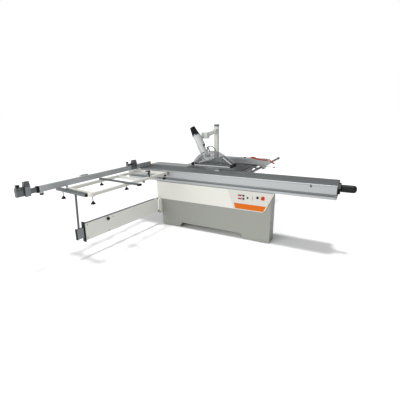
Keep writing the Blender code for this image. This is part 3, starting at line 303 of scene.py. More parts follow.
# %% Which part has which finish
FINISHES = {
    GREY_POWDER_COAT: ["front_pedestal", "main_cabinet", "cabinet_door"],
    CREAM_POWDER_COAT: ["front_cover", "outrigger_near_tube", "outrigger_far_tube",
                        "outrigger_outer_tube", "outrigger_inner_tube", "outrigger_cross_tube"],
    PALE_POWDER_COAT: ["guard_column", "guard_arm", "arm_bracket"],
    PANEL_FOIL: ["control_panel"],
    ANODISED_ALONG: ["guide_rail", "sliding_carriage", "rip_fence_body"],
    ANODISED_ACROSS: ["crosscut_fence"],
    DARK_ACROSS: ["middle_clamp_rail", "outer_clamp_rail", "fence_extension"],
    # The swing arm's whiter coat is painted light on the cream coat.
    LIT_CREAM_POWDER_COAT: ["swing_arm"],
    DARK_STEEL: ["guard_handle", "support_post", "rip_guide"],
    CAST_IRON: ["main_table"],
    TABLE_ENAMEL: ["outfeed_table", "side_extension_table"],
    ZINC_PLATE: ["table_insert", "tilt_frame", "roller_cage", "inner_arm", "flip_stop_carrier",
                 "riving_knife", "outer_stop_flap", "flip_stop_flap"],
    BRIGHT_STEEL: ["saw_arbor", "motor_pulley", "main_blade", "scoring_blade"],
    BLACK_NYLON: ["push_handle", "rail_lock_knob", "carriage_latch", "clamp_knob_outer_left",
                  "material_clamp", "clamp_knob_outer_right", "clamp_knob_middle_left", "clamp_knob_middle_right",
                  "arm_end_plate", "height_button", "tilt_button", "start_button", "scoring_button"],
    RED_ABS: ["main_switch"],
    ORANGE_ENAMEL: ["rip_clamp_lever", "rip_lock_lever"],
    PALE_PVC: ["dust_duct"],
    BLACK_RUBBER: ["duct_cuff", "drive_belt"],
    MOTOR_ENAMEL: ["saw_motor"],
    CLEAR_HOOD: ["guard_hood"],
}
for finish, names in FINISHES.items():
    for name in names:
        surfaces = frame["nodes"][name].data.materials
        surfaces.clear()
        surfaces.append(finish)
unfinished = sorted(set(frame["nodes"]) - {n for names in FINISHES.values() for n in names})
print("parts without a finish:", unfinished)

# %% [markdown]
# ## Modelling helpers
# Every added piece starts as one primitive at its own size and place. It is shaped in edit mode, where
# faces are picked by their place or normal, and finished with a bevel, because no real edge is
# perfectly sharp.


# %% Starting, picking and finishing
def deselect():
    if bpy.context.mode != "OBJECT":
        bpy.ops.object.mode_set(mode="OBJECT")
    bpy.ops.object.select_all(action="DESELECT")


def settled(name, place=True):
    """Names the new primitive and puts its place, turn and size into its mesh."""
    piece = bpy.context.object
    piece.name = piece.data.name = name
    bpy.ops.object.transform_apply(location=place, rotation=True, scale=True)
    return piece


def block(name, low, high):
    """A block between two corners of the layout."""
    deselect()
    bpy.ops.mesh.primitive_cube_add(size=1, location=(spot(*low) + spot(*high)) / 2)
    bpy.context.object.scale = Vector(high) - Vector(low)
    return settled(name)


def pick(piece, kind, test):
    """Goes into edit mode with only the faces or edges that pass the test selected."""
    deselect()
    piece.select_set(True)
    bpy.context.view_layer.objects.active = piece
    bpy.ops.object.mode_set(mode="EDIT")
    bpy.ops.mesh.select_mode(type=kind)
    bpy.ops.mesh.select_all(action="DESELECT")
    shape = bmesh.from_edit_mesh(piece.data)
    for part in [p for p in (shape.faces if kind == "FACE" else shape.edges) if test(p)]:
        part.select_set(True)
    bmesh.update_edit_mesh(piece.data)
    return piece


def extrude(x, y, z):
    bpy.ops.mesh.extrude_region_move(TRANSFORM_OT_translate={"value": (x, y, z)})


def outward(piece):
    """Merges doubled corners and turns every face outwards."""
    pick(piece, "FACE", lambda face: True)
    bpy.ops.mesh.remove_doubles(threshold=0.00001)
    bpy.ops.mesh.normals_make_consistent(inside=False)
    bpy.ops.object.mode_set(mode="OBJECT")
    return piece


def plate(name, points, x=0.0, y=0.0, z=0.0):
    """A flat outline through the given points, extruded by the given step."""
    deselect()
    bpy.ops.mesh.primitive_circle_add(vertices=len(points), fill_type="NGON")
    piece = settled(name)
    for corner, point in zip(piece.data.vertices, points):
        corner.co = spot(*point)
    pick(piece, "FACE", lambda face: True)
    extrude(x, y, z)
    return outward(piece)


def turned(name, start, toward, profile, sides=32):
    """A turned piece: a disc is extruded along its axis and scaled at each (distance, radius)."""
    deselect()
    bpy.ops.mesh.primitive_circle_add(vertices=sides, radius=profile[0][1], fill_type="NGON",
                                      location=(0, 0, profile[0][0]))
    piece = settled(name)
    pick(piece, "FACE", lambda face: True)
    for (before, old), (now, new) in zip(profile, profile[1:]):
        extrude(0, 0, now - before)
        bpy.ops.transform.resize(value=(new / old, new / old, 1), center_override=(0, 0, now))
    bpy.ops.object.mode_set(mode="OBJECT")
    axis = (Vector(toward) - Vector(start)).to_track_quat("Z", "Y").to_matrix().to_4x4()
    piece.data.transform(Matrix.Translation(spot(*start)) @ axis)
    return outward(piece)


def softened(piece, width, segments=2, angle=40):
    """Rounds the edges that are sharper than the angle, with a bevel that is applied."""
    deselect()
    bpy.context.view_layer.objects.active = piece
    bevel = piece.modifiers.new("edges", "BEVEL")
    bevel.width, bevel.segments, bevel.limit_method = width, segments, "ANGLE"
    bevel.angle_limit = math.radians(angle)
    bpy.ops.object.modifier_apply(modifier=bevel.name)
    return piece


def fitted(piece, finish, body, angle=35):
    """Gives a piece its shading and finish, and lets it ride on its body."""
    deselect()
    piece.select_set(True)
    bpy.context.view_layer.objects.active = piece
    bpy.ops.object.shade_smooth_by_angle(angle=math.radians(angle))
    if not piece.data.materials:
        piece.data.materials.append(finish)
    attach(piece, body)
    print(f"  {piece.name}: {len(piece.data.polygons)} faces on {body}")
    return piece

# %% [markdown]
# ## Screws
# A pan-head screw is a turned piece with a drive pressed into its head. Each one is a disc that is
# extruded, and its top face is then inset and pushed in.


# %% Screws
def screw(name, place, toward, radius, body, finish=None):
    """A pan-head screw whose head stands out of a surface, toward the given direction."""
    height = radius * 0.55
    end = Vector(place) + Vector(toward)
    piece = turned(name, place, end, [(0, radius), (height * 0.7, radius), (height, radius * 0.82)], 24)
    axis = Vector(toward).normalized()
    top = (spot(*place) + axis * height).dot(axis)
    pick(piece, "FACE", lambda face: face.normal.dot(axis) > 0.99 and
         face.calc_center_median().dot(axis) > top - 1e-4)
    bpy.ops.mesh.inset(thickness=radius * 0.36, depth=0)
    bpy.ops.mesh.inset(thickness=radius * 0.02, depth=-height * 0.6)
    bpy.ops.object.mode_set(mode="OBJECT")
    return fitted(piece, finish or ZINC_PLATE, body)


# %% [markdown]
# ## Controls
# The control panel is a raised plate with a printed foil. Two red readouts stand at its left, each a
# dark frame with a sunk window, and three small lamps of the same kind stand between the buttons. Push
# buttons sit in turned bezels, the main switch on a yellow plate, and a plain orange stripe runs along
# the foot of the panel.

# %% Readouts
PANEL_FACE = -0.0084
panel_low, panel_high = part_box("control_panel")
print("panel", [round(v, 3) for v in panel_high - panel_low])


def sunk_window(name, x, z, width, height, finish):
    """A dark frame on the panel with a lit window sunk in its face."""
    piece = block(name, (x - width / 2, PANEL_FACE - 0.003, z - height / 2),
                  (x + width / 2, PANEL_FACE, z + height / 2))
    piece.data.materials.append(BLACK_NYLON)
    piece.data.materials.append(finish)
    pick(piece, "FACE", lambda face: face.normal.y < -0.9)
    bpy.ops.mesh.inset(thickness=0.0022, depth=0)
    bpy.ops.mesh.inset(thickness=0.0004, depth=-0.0012)
    piece.active_material_index = 1
    bpy.ops.object.material_slot_assign()
    bpy.ops.object.mode_set(mode="OBJECT")
    softened(piece, 0.0005, 1)
    return fitted(piece, finish, "machine")


sunk_window("height_readout", 1.327, 0.647, 0.052, 0.021, RED_LAMP)
sunk_window("tilt_readout", 1.327, 0.602, 0.052, 0.021, RED_LAMP)
for number, z in enumerate((0.604, 0.624, 0.644)):
    sunk_window(f"scoring_lamp_{number}", 1.510, z, 0.009, 0.009, RED_LAMP)


# %% Bezels round the push buttons
def bezel(name, x, z, radius, finish):
    """A turned ring, open in the middle so that the cap can go down in it."""
    face = (x, PANEL_FACE, z)
    piece = turned(name, face, (x, -1.0, z), [(0, radius), (0.0022, radius), (0.0034, radius - 0.0012)], 40)
    pick(piece, "FACE", lambda f: f.normal.y < -0.99)
    bpy.ops.mesh.inset(thickness=0.0035, depth=0)
    bpy.ops.mesh.inset(thickness=0.0002, depth=-0.0024)
    bpy.ops.object.mode_set(mode="OBJECT")
    return fitted(piece, finish, "machine")


bezel("height_bezel", 1.380, 0.647, 0.0165, ZINC_PLATE)
bezel("tilt_bezel", 1.380, 0.602, 0.0165, ZINC_PLATE)
bezel("start_bezel", 1.440, 0.622, 0.0145, ZINC_PLATE)
bezel("scoring_bezel", 1.580, 0.640, 0.0175, BLACK_NYLON)

# %% Switch plate and stripe
switch_plate = block("switch_plate", (1.627, -0.0092, 0.612), (1.681, PANEL_FACE, 0.666))
pick(switch_plate, "FACE", lambda face: face.normal.y < -0.9)
bpy.ops.mesh.inset(thickness=0.003, depth=0.0006)
bpy.ops.object.mode_set(mode="OBJECT")
fitted(softened(switch_plate, 0.0004, 1), YELLOW_ABS, "machine")

STRIPE_TOP, STRIPE_FOOT = 0.530, 0.452
stripe = plate("orange_stripe", [
    (1.240, PANEL_FACE, STRIPE_TOP), (1.701, PANEL_FACE, STRIPE_TOP), (1.665, PANEL_FACE, STRIPE_FOOT),
    (1.263, PANEL_FACE, STRIPE_FOOT)], y=-0.0009)
fitted(softened(stripe, 0.0003, 1), ORANGE_FOIL, "machine")

# %% [markdown]
# ## Pedestal and cabinet
# The pedestal is folded sheet, and its skin is held by screws at the right-hand side. Behind it the cabinet
# has louvres, because the motor needs air.

# %% Screws on the pedestal's side
side_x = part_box("front_pedestal")[1].x - LEFT
SCREW_RADIUS = 0.0065
for number, z in enumerate((0.060, 0.300)):
    screw(f"pedestal_screw_{number}", (side_x, 0.036, z), (1, 0, 0), SCREW_RADIUS, "machine")

# %% [markdown]
# A louvre is a slot with its lower edge pressed outwards. A plate is inset into bars, and each bar is
# extruded and its lower edge drawn in, which gives the sloping hood of a pressed louvre.


# %% Louvres of the cabinet
def louvres(name, low, high, count, outward_axis, body):
    """A plate with sloping louvres, on a wall that faces along +X, -X or +Y."""
    piece = block(name, low, high)
    facing = Vector(outward_axis)
    pick(piece, "FACE", lambda face: face.normal.dot(facing) > 0.9)
    bpy.ops.mesh.inset(thickness=0.018, depth=0)
    bpy.ops.object.mode_set(mode="OBJECT")
    room_low, room_high = low[2] + 0.018, high[2] - 0.018
    for step in range(1, count):
        pick(piece, "FACE", lambda face: face.normal.dot(facing) > 0.9)
        cut = room_low + (room_high - room_low) * step / count
        bpy.ops.mesh.bisect(plane_co=(0, 0, cut), plane_no=(0, 0, 1))
        bpy.ops.object.mode_set(mode="OBJECT")
    bar_pitch = (room_high - room_low) / count
    across = facing.yxz
    middle = (spot(*low) + spot(*high)).dot(across) / 2
    pick(piece, "FACE", lambda face: face.normal.dot(facing) > 0.9 and
         room_low < face.calc_center_median().z < room_high and
         abs(face.calc_center_median().dot(across) - middle) < 0.01)
    bpy.ops.mesh.inset(thickness=bar_pitch * 0.18, use_individual=True)
    bpy.ops.mesh.extrude_region_move(TRANSFORM_OT_translate={"value": facing * 0.007})
    bpy.ops.object.mode_set(mode="OBJECT")
    wall_place = spot(*high) if sum(outward_axis) > 0 else spot(*low)
    pick(piece, "EDGE", lambda edge: is_upper_edge(edge, facing, wall_place))
    bpy.ops.transform.translate(value=facing * -0.0065)
    bpy.ops.object.mode_set(mode="OBJECT")
    return fitted(outward(piece), GREY_POWDER_COAT, body, 25)


def is_upper_edge(edge, facing, face_place):
    """True for the outer, upper, level edge of a louvre."""
    ends = [v.co for v in edge.verts]
    level = abs(ends[0].z - ends[1].z) < 1e-6
    out = min((e - face_place).dot(facing) for e in ends) > 0.0065
    return level and out and any(face.normal.z > 0.9 for face in edge.link_faces)


cabinet_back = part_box("main_cabinet")[1].y - FRONT
LOUVRE_COUNT = 7
louvres("motor_louvres", (0.560, cabinet_back, 0.300), (0.960, cabinet_back + 0.003, 0.560), LOUVRE_COUNT,
        (0, 1, 0), "machine")

# %% [markdown]
# ## Rail and carriage
# The carriage is an extrusion with a ribbed tread. Its ribs run the whole length, so a flat strip is
# cut into lanes and every second lane is raised by half a millimetre. Moulded caps close the ends of
# the profiles.

# %% Tread of the carriage
CARRIAGE_LEFT, CARRIAGE_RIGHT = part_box("sliding_carriage")[0].x - LEFT, 2.541
TOP = 0.900


def ribbed_strip(name, y_near, y_far, pitch, finish):
    """A thin strip along the carriage whose every second lane is raised."""
    lanes = 2 * round((y_far - y_near) / pitch) + 1
    deselect()
    bpy.ops.mesh.primitive_grid_add(x_subdivisions=1, y_subdivisions=lanes, size=1)
    strip = bpy.context.object
    strip.scale = (CARRIAGE_RIGHT - CARRIAGE_LEFT - 0.004, y_far - y_near, 1)
    strip.location = spot((CARRIAGE_LEFT + CARRIAGE_RIGHT) / 2, (y_near + y_far) / 2, TOP + 0.0004)
    strip = settled(name)
    lane = (y_far - y_near) / lanes
    near = FRONT + y_near
    pick(strip, "FACE", lambda face: int((face.calc_center_median().y - near) / lane) % 2 == 0)
    extrude(0, 0, 0.0008)
    bpy.ops.object.mode_set(mode="OBJECT")
    return fitted(outward(strip), finish, "carriage", 20)


RIB_PITCH = 0.0095
# The tread's darker anodised finish is painted shade on the carriage's top.
ribbed_strip("carriage_tread", 0.084, 0.396, RIB_PITCH, SHADED_ANODISED)
ribbed_strip("carriage_near_tread", 0.008, 0.060, RIB_PITCH, SHADED_ANODISED)

# %% [markdown]
# The near face of the profile isn't flat: a shallow bead runs near its top and another near its foot,
# which is what catches the light as two fine lines. Each bead is a bar with its long edges rounded.

# %% Beads, a painted-shade strip in the rail's recess, and end caps


def long_bar(name, low, high, radius, finish, body, segments=3):
    """A bar whose long edges are rounded."""
    return fitted(softened(block(name, low, high), radius, segments), finish, body)


long_bar("carriage_upper_bead", (CARRIAGE_LEFT, -0.0042, 0.8795), (CARRIAGE_RIGHT, 0.001, 0.8985),
         0.0018, ANODISED_ALONG, "carriage")
long_bar("carriage_lower_bead", (CARRIAGE_LEFT, -0.0030, 0.7905), (CARRIAGE_RIGHT, 0.001, 0.797), 0.001,
         ANODISED_ALONG, "carriage")
# A dark strip in the recess between carriage and rail: painted shade for the dark band that the recess casts.
long_bar("rail_recess_shade_strip", (CARRIAGE_LEFT + 0.01, 0.008, 0.7575), (CARRIAGE_RIGHT - 0.01, 0.022, 0.7882),
         0.001, SHADED_ANODISED, "machine")


def end_cap(name, x, toward, near, far, low, high, body):
    """A moulded cap on a profile's end, with a sunk panel in its face."""
    x_low, x_high = sorted((x, x + toward * 0.004))
    piece = block(name, (x_low, near, low), (x_high, far, high))
    pick(piece, "FACE", lambda face: face.normal.x * toward > 0.9)
    bpy.ops.mesh.inset(thickness=0.008, depth=0)
    bpy.ops.mesh.inset(thickness=0.001, depth=-0.0015)
    bpy.ops.object.mode_set(mode="OBJECT")
    return fitted(softened(piece, 0.0012), BLACK_NYLON, body)


end_cap("carriage_cap_right", CARRIAGE_RIGHT, 1, 0.001, 0.402, 0.791, 0.8995, "carriage")
end_cap("carriage_cap_left", CARRIAGE_LEFT, -1, 0.001, 0.402, 0.791, 0.8995, "carriage")
end_cap("rail_cap_right", CARRIAGE_RIGHT, 1, 0.002, 0.358, 0.726, 0.775, "machine")
end_cap("rail_cap_left", CARRIAGE_LEFT, -1, 0.002, 0.358, 0.726, 0.775, "machine")

# %% [markdown]
# ## Outrigger frame
# The frame is welded from box tube. Where two tubes meet at the outer corner, a round cap closes the
# joint, and moulded caps close the ends of the clamp rails. Knobs hang below the rails and clamp them.


# %% Caps of the frame
def tube_cap(name, centre, along, width, height, z, depth=0.006):
    """A moulded cap on the end of a level tube that runs along the given direction."""
    run = Vector((along[0], along[1])).normalized()
    side = Vector((-run.y, run.x)) * width / 2
    start, end = Vector(centre), Vector(centre) + run * depth
    points = [(*(start + side), z), (*(start - side), z), (*(end - side), z), (*(end + side), z)]
    piece = plate(name, points, z=height)
    return fitted(softened(piece, 0.002), BLACK_NYLON, "carriage")


corner = turned("outrigger_corner", (0.080, -1.472, 0.841), (0.080, -1.472, 1.0),
                [(0, 0.038), (0.002, 0.041), (0.0405, 0.041), (0.0440, 0.038)], 40)
fitted(corner, CREAM_POWDER_COAT, "carriage")
tube_cap("middle_rail_cap_right", (0.320, -0.930), (0.715, -0.062), 0.052, 0.0270, 0.876, 0.034)
tube_cap("middle_rail_cap_left", (-0.395, -0.868), (-0.715, 0.062), 0.0455, 0.0205, 0.880)
tube_cap("outer_rail_cap_right", (0.048, -1.515), (0.580, -0.069), 0.0455, 0.0355, 0.8416)
tube_cap("outer_rail_cap_left", (-0.532, -1.446), (-0.580, 0.069), 0.0455, 0.0355, 0.8416)

# %% [markdown]
# A hanging knob is a moulded disc with soft lobes for the fingers, on a steel screw. A turned shape
# gives the disc and its neck, and then the wide rings are pulled in at five places in a turn.


# %% Hanging clamp knobs
def lobed(piece, centre, least_radius, lobes, deep):
    """Pulls the wide rings of a turned piece in between its lobes."""
    middle = spot(*centre)
    for corner_point in piece.data.vertices:
        offset = Vector((corner_point.co.x - middle.x, corner_point.co.y - middle.y))
        if offset.length > least_radius:
            pull = 1 - deep * (0.5 + 0.5 * math.cos(lobes * math.atan2(offset.y, offset.x)))
            corner_point.co.x = middle.x + offset.x * pull
            corner_point.co.y = middle.y + offset.y * pull
    return piece


def body_with(node):
    """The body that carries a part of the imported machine."""
    bodies = frame["record"]["behaviour"]["bodies"]
    return next(body for body, names in bodies.items() if node in names)


KNOB_TALL = 0.036
for side in ("outer_left", "outer_right", "middle_left", "middle_right"):
    node = "clamp_knob_" + side
    low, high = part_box(node)
    centre = (low + high) / 2 - spot(0, 0, 0)
    tall = high.z - low.z
    knob = turned("knob_" + side, (centre.x, centre.y, low.z), (centre.x, centre.y, 1.0), [
        (0, 0.021), (0.003, 0.0290), (0.009, 0.0305), (0.014, 0.0250), (KNOB_TALL - 0.006, 0.0125),
        (KNOB_TALL, 0.0095)], 40)
    lobed(knob, centre, 0.020, 5, 0.12)
    stem_foot, stem_tall = low.z + KNOB_TALL - 0.002, tall - KNOB_TALL + 0.002
    stem = turned("knob_screw_" + side, (centre.x, centre.y, stem_foot), (centre.x, centre.y, 1.0), [
        (0, 0.0052), (stem_tall - 0.001, 0.0060), (stem_tall, 0.0055)], 24)
    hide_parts(node)
    fitted(knob, BLACK_NYLON, body_with(node))
    fitted(stem, ZINC_PLATE, body_with(node))


def grip_knob(name, place, radius, height, body, upward=1):
    """A small moulded knob on a level face, with a waist below its round head."""
    x, y, z = place
    piece = turned(name, place, (x, y, z + upward), [
        (0, radius * 0.6), (height * 0.25, radius * 0.55), (height * 0.45, radius), (height * 0.9, radius),
        (height, radius * 0.8)], 32)
    return fitted(piece, BLACK_NYLON, body)


grip_knob("frame_knob_far", (-0.200, -0.055, 0.8455), 0.020, 0.026, "carriage", -1)
grip_knob("frame_knob_near", (0.107, -0.560, 0.8452), 0.019, 0.024, "carriage", -1)
grip_knob("frame_knob_corner", (0.114, -0.052, 0.8452), 0.020, 0.028, "carriage", -1)

# %% [markdown]
# ## Crosscut fence
# The fence is a slim extrusion that carries a rule along its top. Its inner end has a tan tip of a softer
# plastic that the blade may touch, and a black collar closes its outer end. Small knobs lock its stops.

# %% Fence details
FENCE_X = (-0.436, -0.400)
FENCE_END = 0.250
tip = block("fence_tip", (FENCE_X[0] - 0.001, FENCE_END + 0.0002, 0.9035),
            (FENCE_X[1] + 0.001, 0.284, 0.974))
fitted(softened(tip, 0.005, 3), TAN_ABS, "crosscut_fence")
collar = block("fence_collar", (FENCE_X[0] - 0.003, -1.799, 0.900), (FENCE_X[1] + 0.003, -1.769, 0.976))
fitted(softened(collar, 0.004), BLACK_NYLON, "crosscut_fence")
FENCE_MIDDLE = (FENCE_X[0] + FENCE_X[1]) / 2
grip_knob("flip_stop_knob", (FENCE_MIDDLE - 0.018, -0.267, 1.0135), 0.0205, 0.022, "flip_stop_carrier")
grip_knob("outer_stop_knob", (FENCE_MIDDLE, -1.996, 0.9995), 0.0185, 0.032, "fence_extension")
grip_knob("fence_lock_grip", (FENCE_MIDDLE, -1.740, 0.9025), 0.0225, 0.036, "crosscut_fence", -1)
long_bar("fence_rule", (FENCE_X[0] + 0.006, -1.765, 0.9728), (FENCE_X[0] + 0.026, 0.240, 0.9736), 0.0002,
         PANEL_FOIL, "crosscut_fence", 1)


# %% [markdown]
# The rule's marks are fine dark bars, long at every tenth. One grid of bars is made by copying a thin
# block in code, because two hundred hand-placed marks would be the same thing with more typing.

# %% Marks of a rule
def rule_marks(name, x, y_first, y_last, step, z, body, short, tall):
    """Dark marks across a rule that runs along Y, as one piece."""
    deselect()
    count = int(abs(y_last - y_first) / step)
    made = []
    for number in range(count + 1):
        y = y_first + (y_last - y_first) * number / count
        length = tall if number % 10 == 0 else short
        made.append(block(f"{name}_{number}", (x, y - 0.0006, z), (x + length, y + 0.0006, z + 0.0003)))
    deselect()
    for mark in made:
        mark.select_set(True)
    bpy.context.view_layer.objects.active = made[0]
    bpy.ops.object.join()
    made[0].name = made[0].data.name = name
    return fitted(made[0], BLACK_NYLON, body)


rule_marks("fence_rule_marks", FENCE_X[0] + 0.007, 0.240, -1.760, 0.010, 0.9735, "crosscut_fence",
           short=0.009, tall=0.016)

# %% [markdown]
# ## Swing arm
# The arm is a hollow box of folded sheet. A thin steel strip lines its top edge, and screws on its side
# hold the rollers that the inner arm runs on. A knob locks the inner arm.

# %% Swing arm details
ARM_PIVOT = Vector((-0.072, -0.045))
ARM_TURN = math.radians(-4.55)
ARM_RUN = Vector((math.sin(ARM_TURN), -math.cos(ARM_TURN)))
ARM_SIDE = Vector((-ARM_RUN.y, ARM_RUN.x))


def on_arm(along, across, z):
    """A place on the arm, measured from its hinge, with across towards the pedestal."""
    place = ARM_PIVOT + ARM_RUN * along + ARM_SIDE * across
    return (place.x, place.y, z)


ARM_FACE = 0.0205
ARM_TOP, STRIP_FROM, STRIP_TO, STRIP_SIDE = 0.447, 0.05, 1.373, 0.0203
arm_top = plate("arm_top_wiper", [
    on_arm(STRIP_FROM, -STRIP_SIDE, ARM_TOP), on_arm(STRIP_FROM, STRIP_SIDE, ARM_TOP),
    on_arm(STRIP_TO, STRIP_SIDE, ARM_TOP), on_arm(STRIP_TO, -STRIP_SIDE, ARM_TOP)], z=0.003)
fitted(softened(arm_top, 0.001), ZINC_PLATE, "swing_arm")
side_way = (ARM_SIDE.x, ARM_SIDE.y, 0)
for number, (along, z) in enumerate(((1.340, 0.423), (1.348, 0.257), (1.005, 0.243), (0.925, 0.412))):
    screw(f"arm_screw_{number}", on_arm(along, ARM_FACE, z), side_way, SCREW_RADIUS, "swing_arm")
arm_knob = turned("arm_lock_knob", on_arm(1.020, ARM_FACE, 0.411), on_arm(1.020, 0.5, 0.411), [
    (0, 0.010), (0.008, 0.010), (0.010, 0.0205), (0.022, 0.0225), (0.026, 0.018)], 32)
fitted(arm_knob, BLACK_NYLON, "swing_arm")
housing = block("hinge_housing", (-0.0495, -0.032, 0.226), (-0.001, 0.060, 0.437))
fitted(softened(housing, 0.003), CREAM_POWDER_COAT, "machine")
CAP_ALONG, CAP_SIDE, CAP_LOW, CAP_HIGH, CAP_THICK = 1.4881, 0.0175, 0.266, 0.408, 0.004
arm_cap = plate("inner_arm_cap", [
    on_arm(CAP_ALONG, -CAP_SIDE, CAP_LOW), on_arm(CAP_ALONG, CAP_SIDE, CAP_LOW),
    on_arm(CAP_ALONG, CAP_SIDE, CAP_HIGH), on_arm(CAP_ALONG, -CAP_SIDE, CAP_HIGH)],
    x=ARM_RUN.x * CAP_THICK, y=ARM_RUN.y * CAP_THICK)
fitted(softened(arm_cap, 0.001), BLACK_NYLON, "inner_arm")
for number, z in enumerate((0.225, 0.425)):
    band = turned(f"hinge_band_{number}", (*ARM_PIVOT, z), (*ARM_PIVOT, 1.0), [
        (0, 0.0222), (0.001, 0.0232), (0.021, 0.0232), (0.022, 0.0222)], 36)
    fitted(band, ZINC_PLATE, "swing_arm")

# %% [markdown]
# ## Table top details
# A dark wooden strip beside the blade keeps thin offcuts from falling in. The rip fence's top carries a darker
# strip of painted shade, with a small clamp for a stop, and a folded lid closes the cabinet behind the tables.

# %% Splinter strip, fence top and cabinet lid
splinter = block("splinter_strip", (0.224, 0.4112, 0.8997), (1.040, 0.4235, 0.9010))
fitted(softened(splinter, 0.0004, 1), BLACK_NYLON, "machine")
RIP_LEFT, RIP_NEAR, RIP_TOP = 0.534, 1.073, 1.000
# A darker enamel strip laid on the fence's top: painted shade that dims the top, which the overhead lamp and
# white room would light too brightly.
rip_top_shade = block("rip_fence_top_shade", (RIP_LEFT, RIP_NEAR, RIP_TOP - 0.0005),
                  (1.090, 1.197, RIP_TOP + 0.0012))
fitted(softened(rip_top_shade, 0.0005), TABLE_ENAMEL, "rip_fence")
stop_clamp = block("rip_stop_clamp", (0.975, 1.080, RIP_TOP), (1.005, 1.110, RIP_TOP + 0.020))
fitted(softened(stop_clamp, 0.003), BLACK_NYLON, "rip_fence")
lid = block("cabinet_lid", (-0.048, 0.684, 0.8553), (0.218, 1.128, 0.8585))
pick(lid, "FACE", lambda face: face.normal.z > 0.9)
bpy.ops.mesh.inset(thickness=0.020, depth=-0.0012)
bpy.ops.object.mode_set(mode="OBJECT")
fitted(softened(lid, 0.001), GREY_POWDER_COAT, "machine")

# %% [markdown]
# ## Saw blades
# A saw blade is a thin ground disc with carbide teeth, a gullet in front of each. The rim of a disc is
# divided, and at each tooth the corners are pushed out for the tip and in for the gullet.


# %% Blades
def saw_blade(name, node, teeth, body):
    """A toothed disc with a raised hub in place of the plain one."""
    low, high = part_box(node)
    centre = (low + high) / 2
    radius, half = (high.x - low.x) / 2, (high.y - low.y) / 2
    deselect()
    bpy.ops.mesh.primitive_cylinder_add(vertices=teeth * 4, radius=radius, depth=2 * half, location=centre,
                                        rotation=(math.pi / 2, 0, 0))
    piece = settled(name)
    pick(piece, "FACE", lambda face: abs(face.normal.y) > 0.9)
    bpy.ops.mesh.inset(thickness=radius * 0.09)
    bpy.ops.mesh.inset(thickness=radius * 0.62, depth=0)
    bpy.ops.mesh.inset(thickness=radius * 0.005, depth=half * 0.5)
    bpy.ops.object.mode_set(mode="OBJECT")
    reach = (0.997, 1.0, 0.905, 0.945)
    for corner_point in piece.data.vertices:
        offset = Vector((corner_point.co.x - centre.x, corner_point.co.z - centre.z))
        if offset.length > radius * 0.98:
            step = round(math.atan2(offset.y, offset.x) / (2 * math.pi) * teeth * 4) % 4
            corner_point.co.x = centre.x + offset.x * reach[step]
            corner_point.co.z = centre.z + offset.y * reach[step]
    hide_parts(node)
    return fitted(piece, BRIGHT_STEEL, body)


saw_blade("toothed_main_blade", "main_blade", 48, body_with("main_blade"))
saw_blade("toothed_scoring_blade", "scoring_blade", 24, body_with("scoring_blade"))

# %% [markdown]
# ## Blade guard
# The clear hood is edged with a thin metal rim that follows its outline. The rim is a short bar spun
# round the hood's centre. Black rollers stand at its lower corners so that it can ride up over the
# work. A bent bracket carries the handle, and two deflectors inside lead the dust up to the duct.

# %% Rim of the hood
HOOD_CENTRE = (0.680, 0.839)
HOOD_RADIUS = 0.342
HOOD_SIDES = (0.368, 0.488)
FIRST_ANGLE, LAST_ANGLE = 154, 50


def on_hood(angle, radius=HOOD_RADIUS):
    """A place (x, z) on the hood's round back, by its angle in degrees."""
    turn_by = math.radians(angle)
    return HOOD_CENTRE[0] + radius * math.cos(turn_by), HOOD_CENTRE[1] + radius * math.sin(turn_by)


def hood_rim(name, y_low, y_high):
    """A strip that follows the hood's round back, spun round the hood's centre."""
    deselect()
    bpy.ops.mesh.primitive_plane_add(size=1)
    strip = settled(name)
    inner, outer = on_hood(FIRST_ANGLE, HOOD_RADIUS - 0.009), on_hood(FIRST_ANGLE, HOOD_RADIUS + 0.003)
    section = [(outer, y_low), (inner, y_low), (outer, y_high), (inner, y_high)]
    for corner_point, ((cx, cz), cy) in zip(strip.data.vertices, section):
        corner_point.co = spot(cx, cy, cz)
    pick(strip, "FACE", lambda face: True)
    bpy.ops.mesh.spin(steps=26, angle=math.radians(FIRST_ANGLE - LAST_ANGLE), axis=(0, 1, 0),
                      center=spot(HOOD_CENTRE[0], 0, HOOD_CENTRE[1]))
    bpy.ops.object.mode_set(mode="OBJECT")
    return fitted(softened(outward(strip), 0.0008, 1), ZINC_PLATE, "guard_hood")


hood_rim("hood_rim_near", HOOD_SIDES[0] - 0.0015, HOOD_SIDES[0] + 0.002)
hood_rim("hood_rim_far", HOOD_SIDES[1] - 0.002, HOOD_SIDES[1] + 0.0015)

# %% Lower edge, front slope and rollers
SLOPE_TOP, SLOPE_FOOT = on_hood(LAST_ANGLE), (1.045, 1.000)
for side, y in (("near", HOOD_SIDES[0] - 0.0025), ("far", HOOD_SIDES[1] - 0.0025)):
    long_bar(f"hood_edge_{side}", (0.392, y, 0.9455), (1.020, y + 0.005, 0.962), 0.0012, PALE_PVC,
             "guard_hood", 2)
    slope = plate(f"hood_slope_{side}", [
        (SLOPE_TOP[0], y, SLOPE_TOP[1] + 0.001), (SLOPE_FOOT[0], y, SLOPE_FOOT[1]),
        (SLOPE_FOOT[0], y, SLOPE_FOOT[1] - 0.016), (SLOPE_TOP[0] - 0.008, y, SLOPE_TOP[1] - 0.010)], y=0.005)
    fitted(softened(slope, 0.001), PALE_PVC, "guard_hood")
ROLLER = [(0, 0.021), (0.002, 0.027), (0.016, 0.027), (0.018, 0.021), (0.019, 0.007), (0.123, 0.007),
          (0.124, 0.021), (0.126, 0.027), (0.140, 0.027), (0.142, 0.021)]
for side, x in (("left", 0.376), ("right", 1.042)):
    roller = turned(f"hood_roller_{side}", (x, 0.357, 0.972), (x, 1.0, 0.972), ROLLER, 32)
    fitted(roller, BLACK_NYLON, "guard_hood")

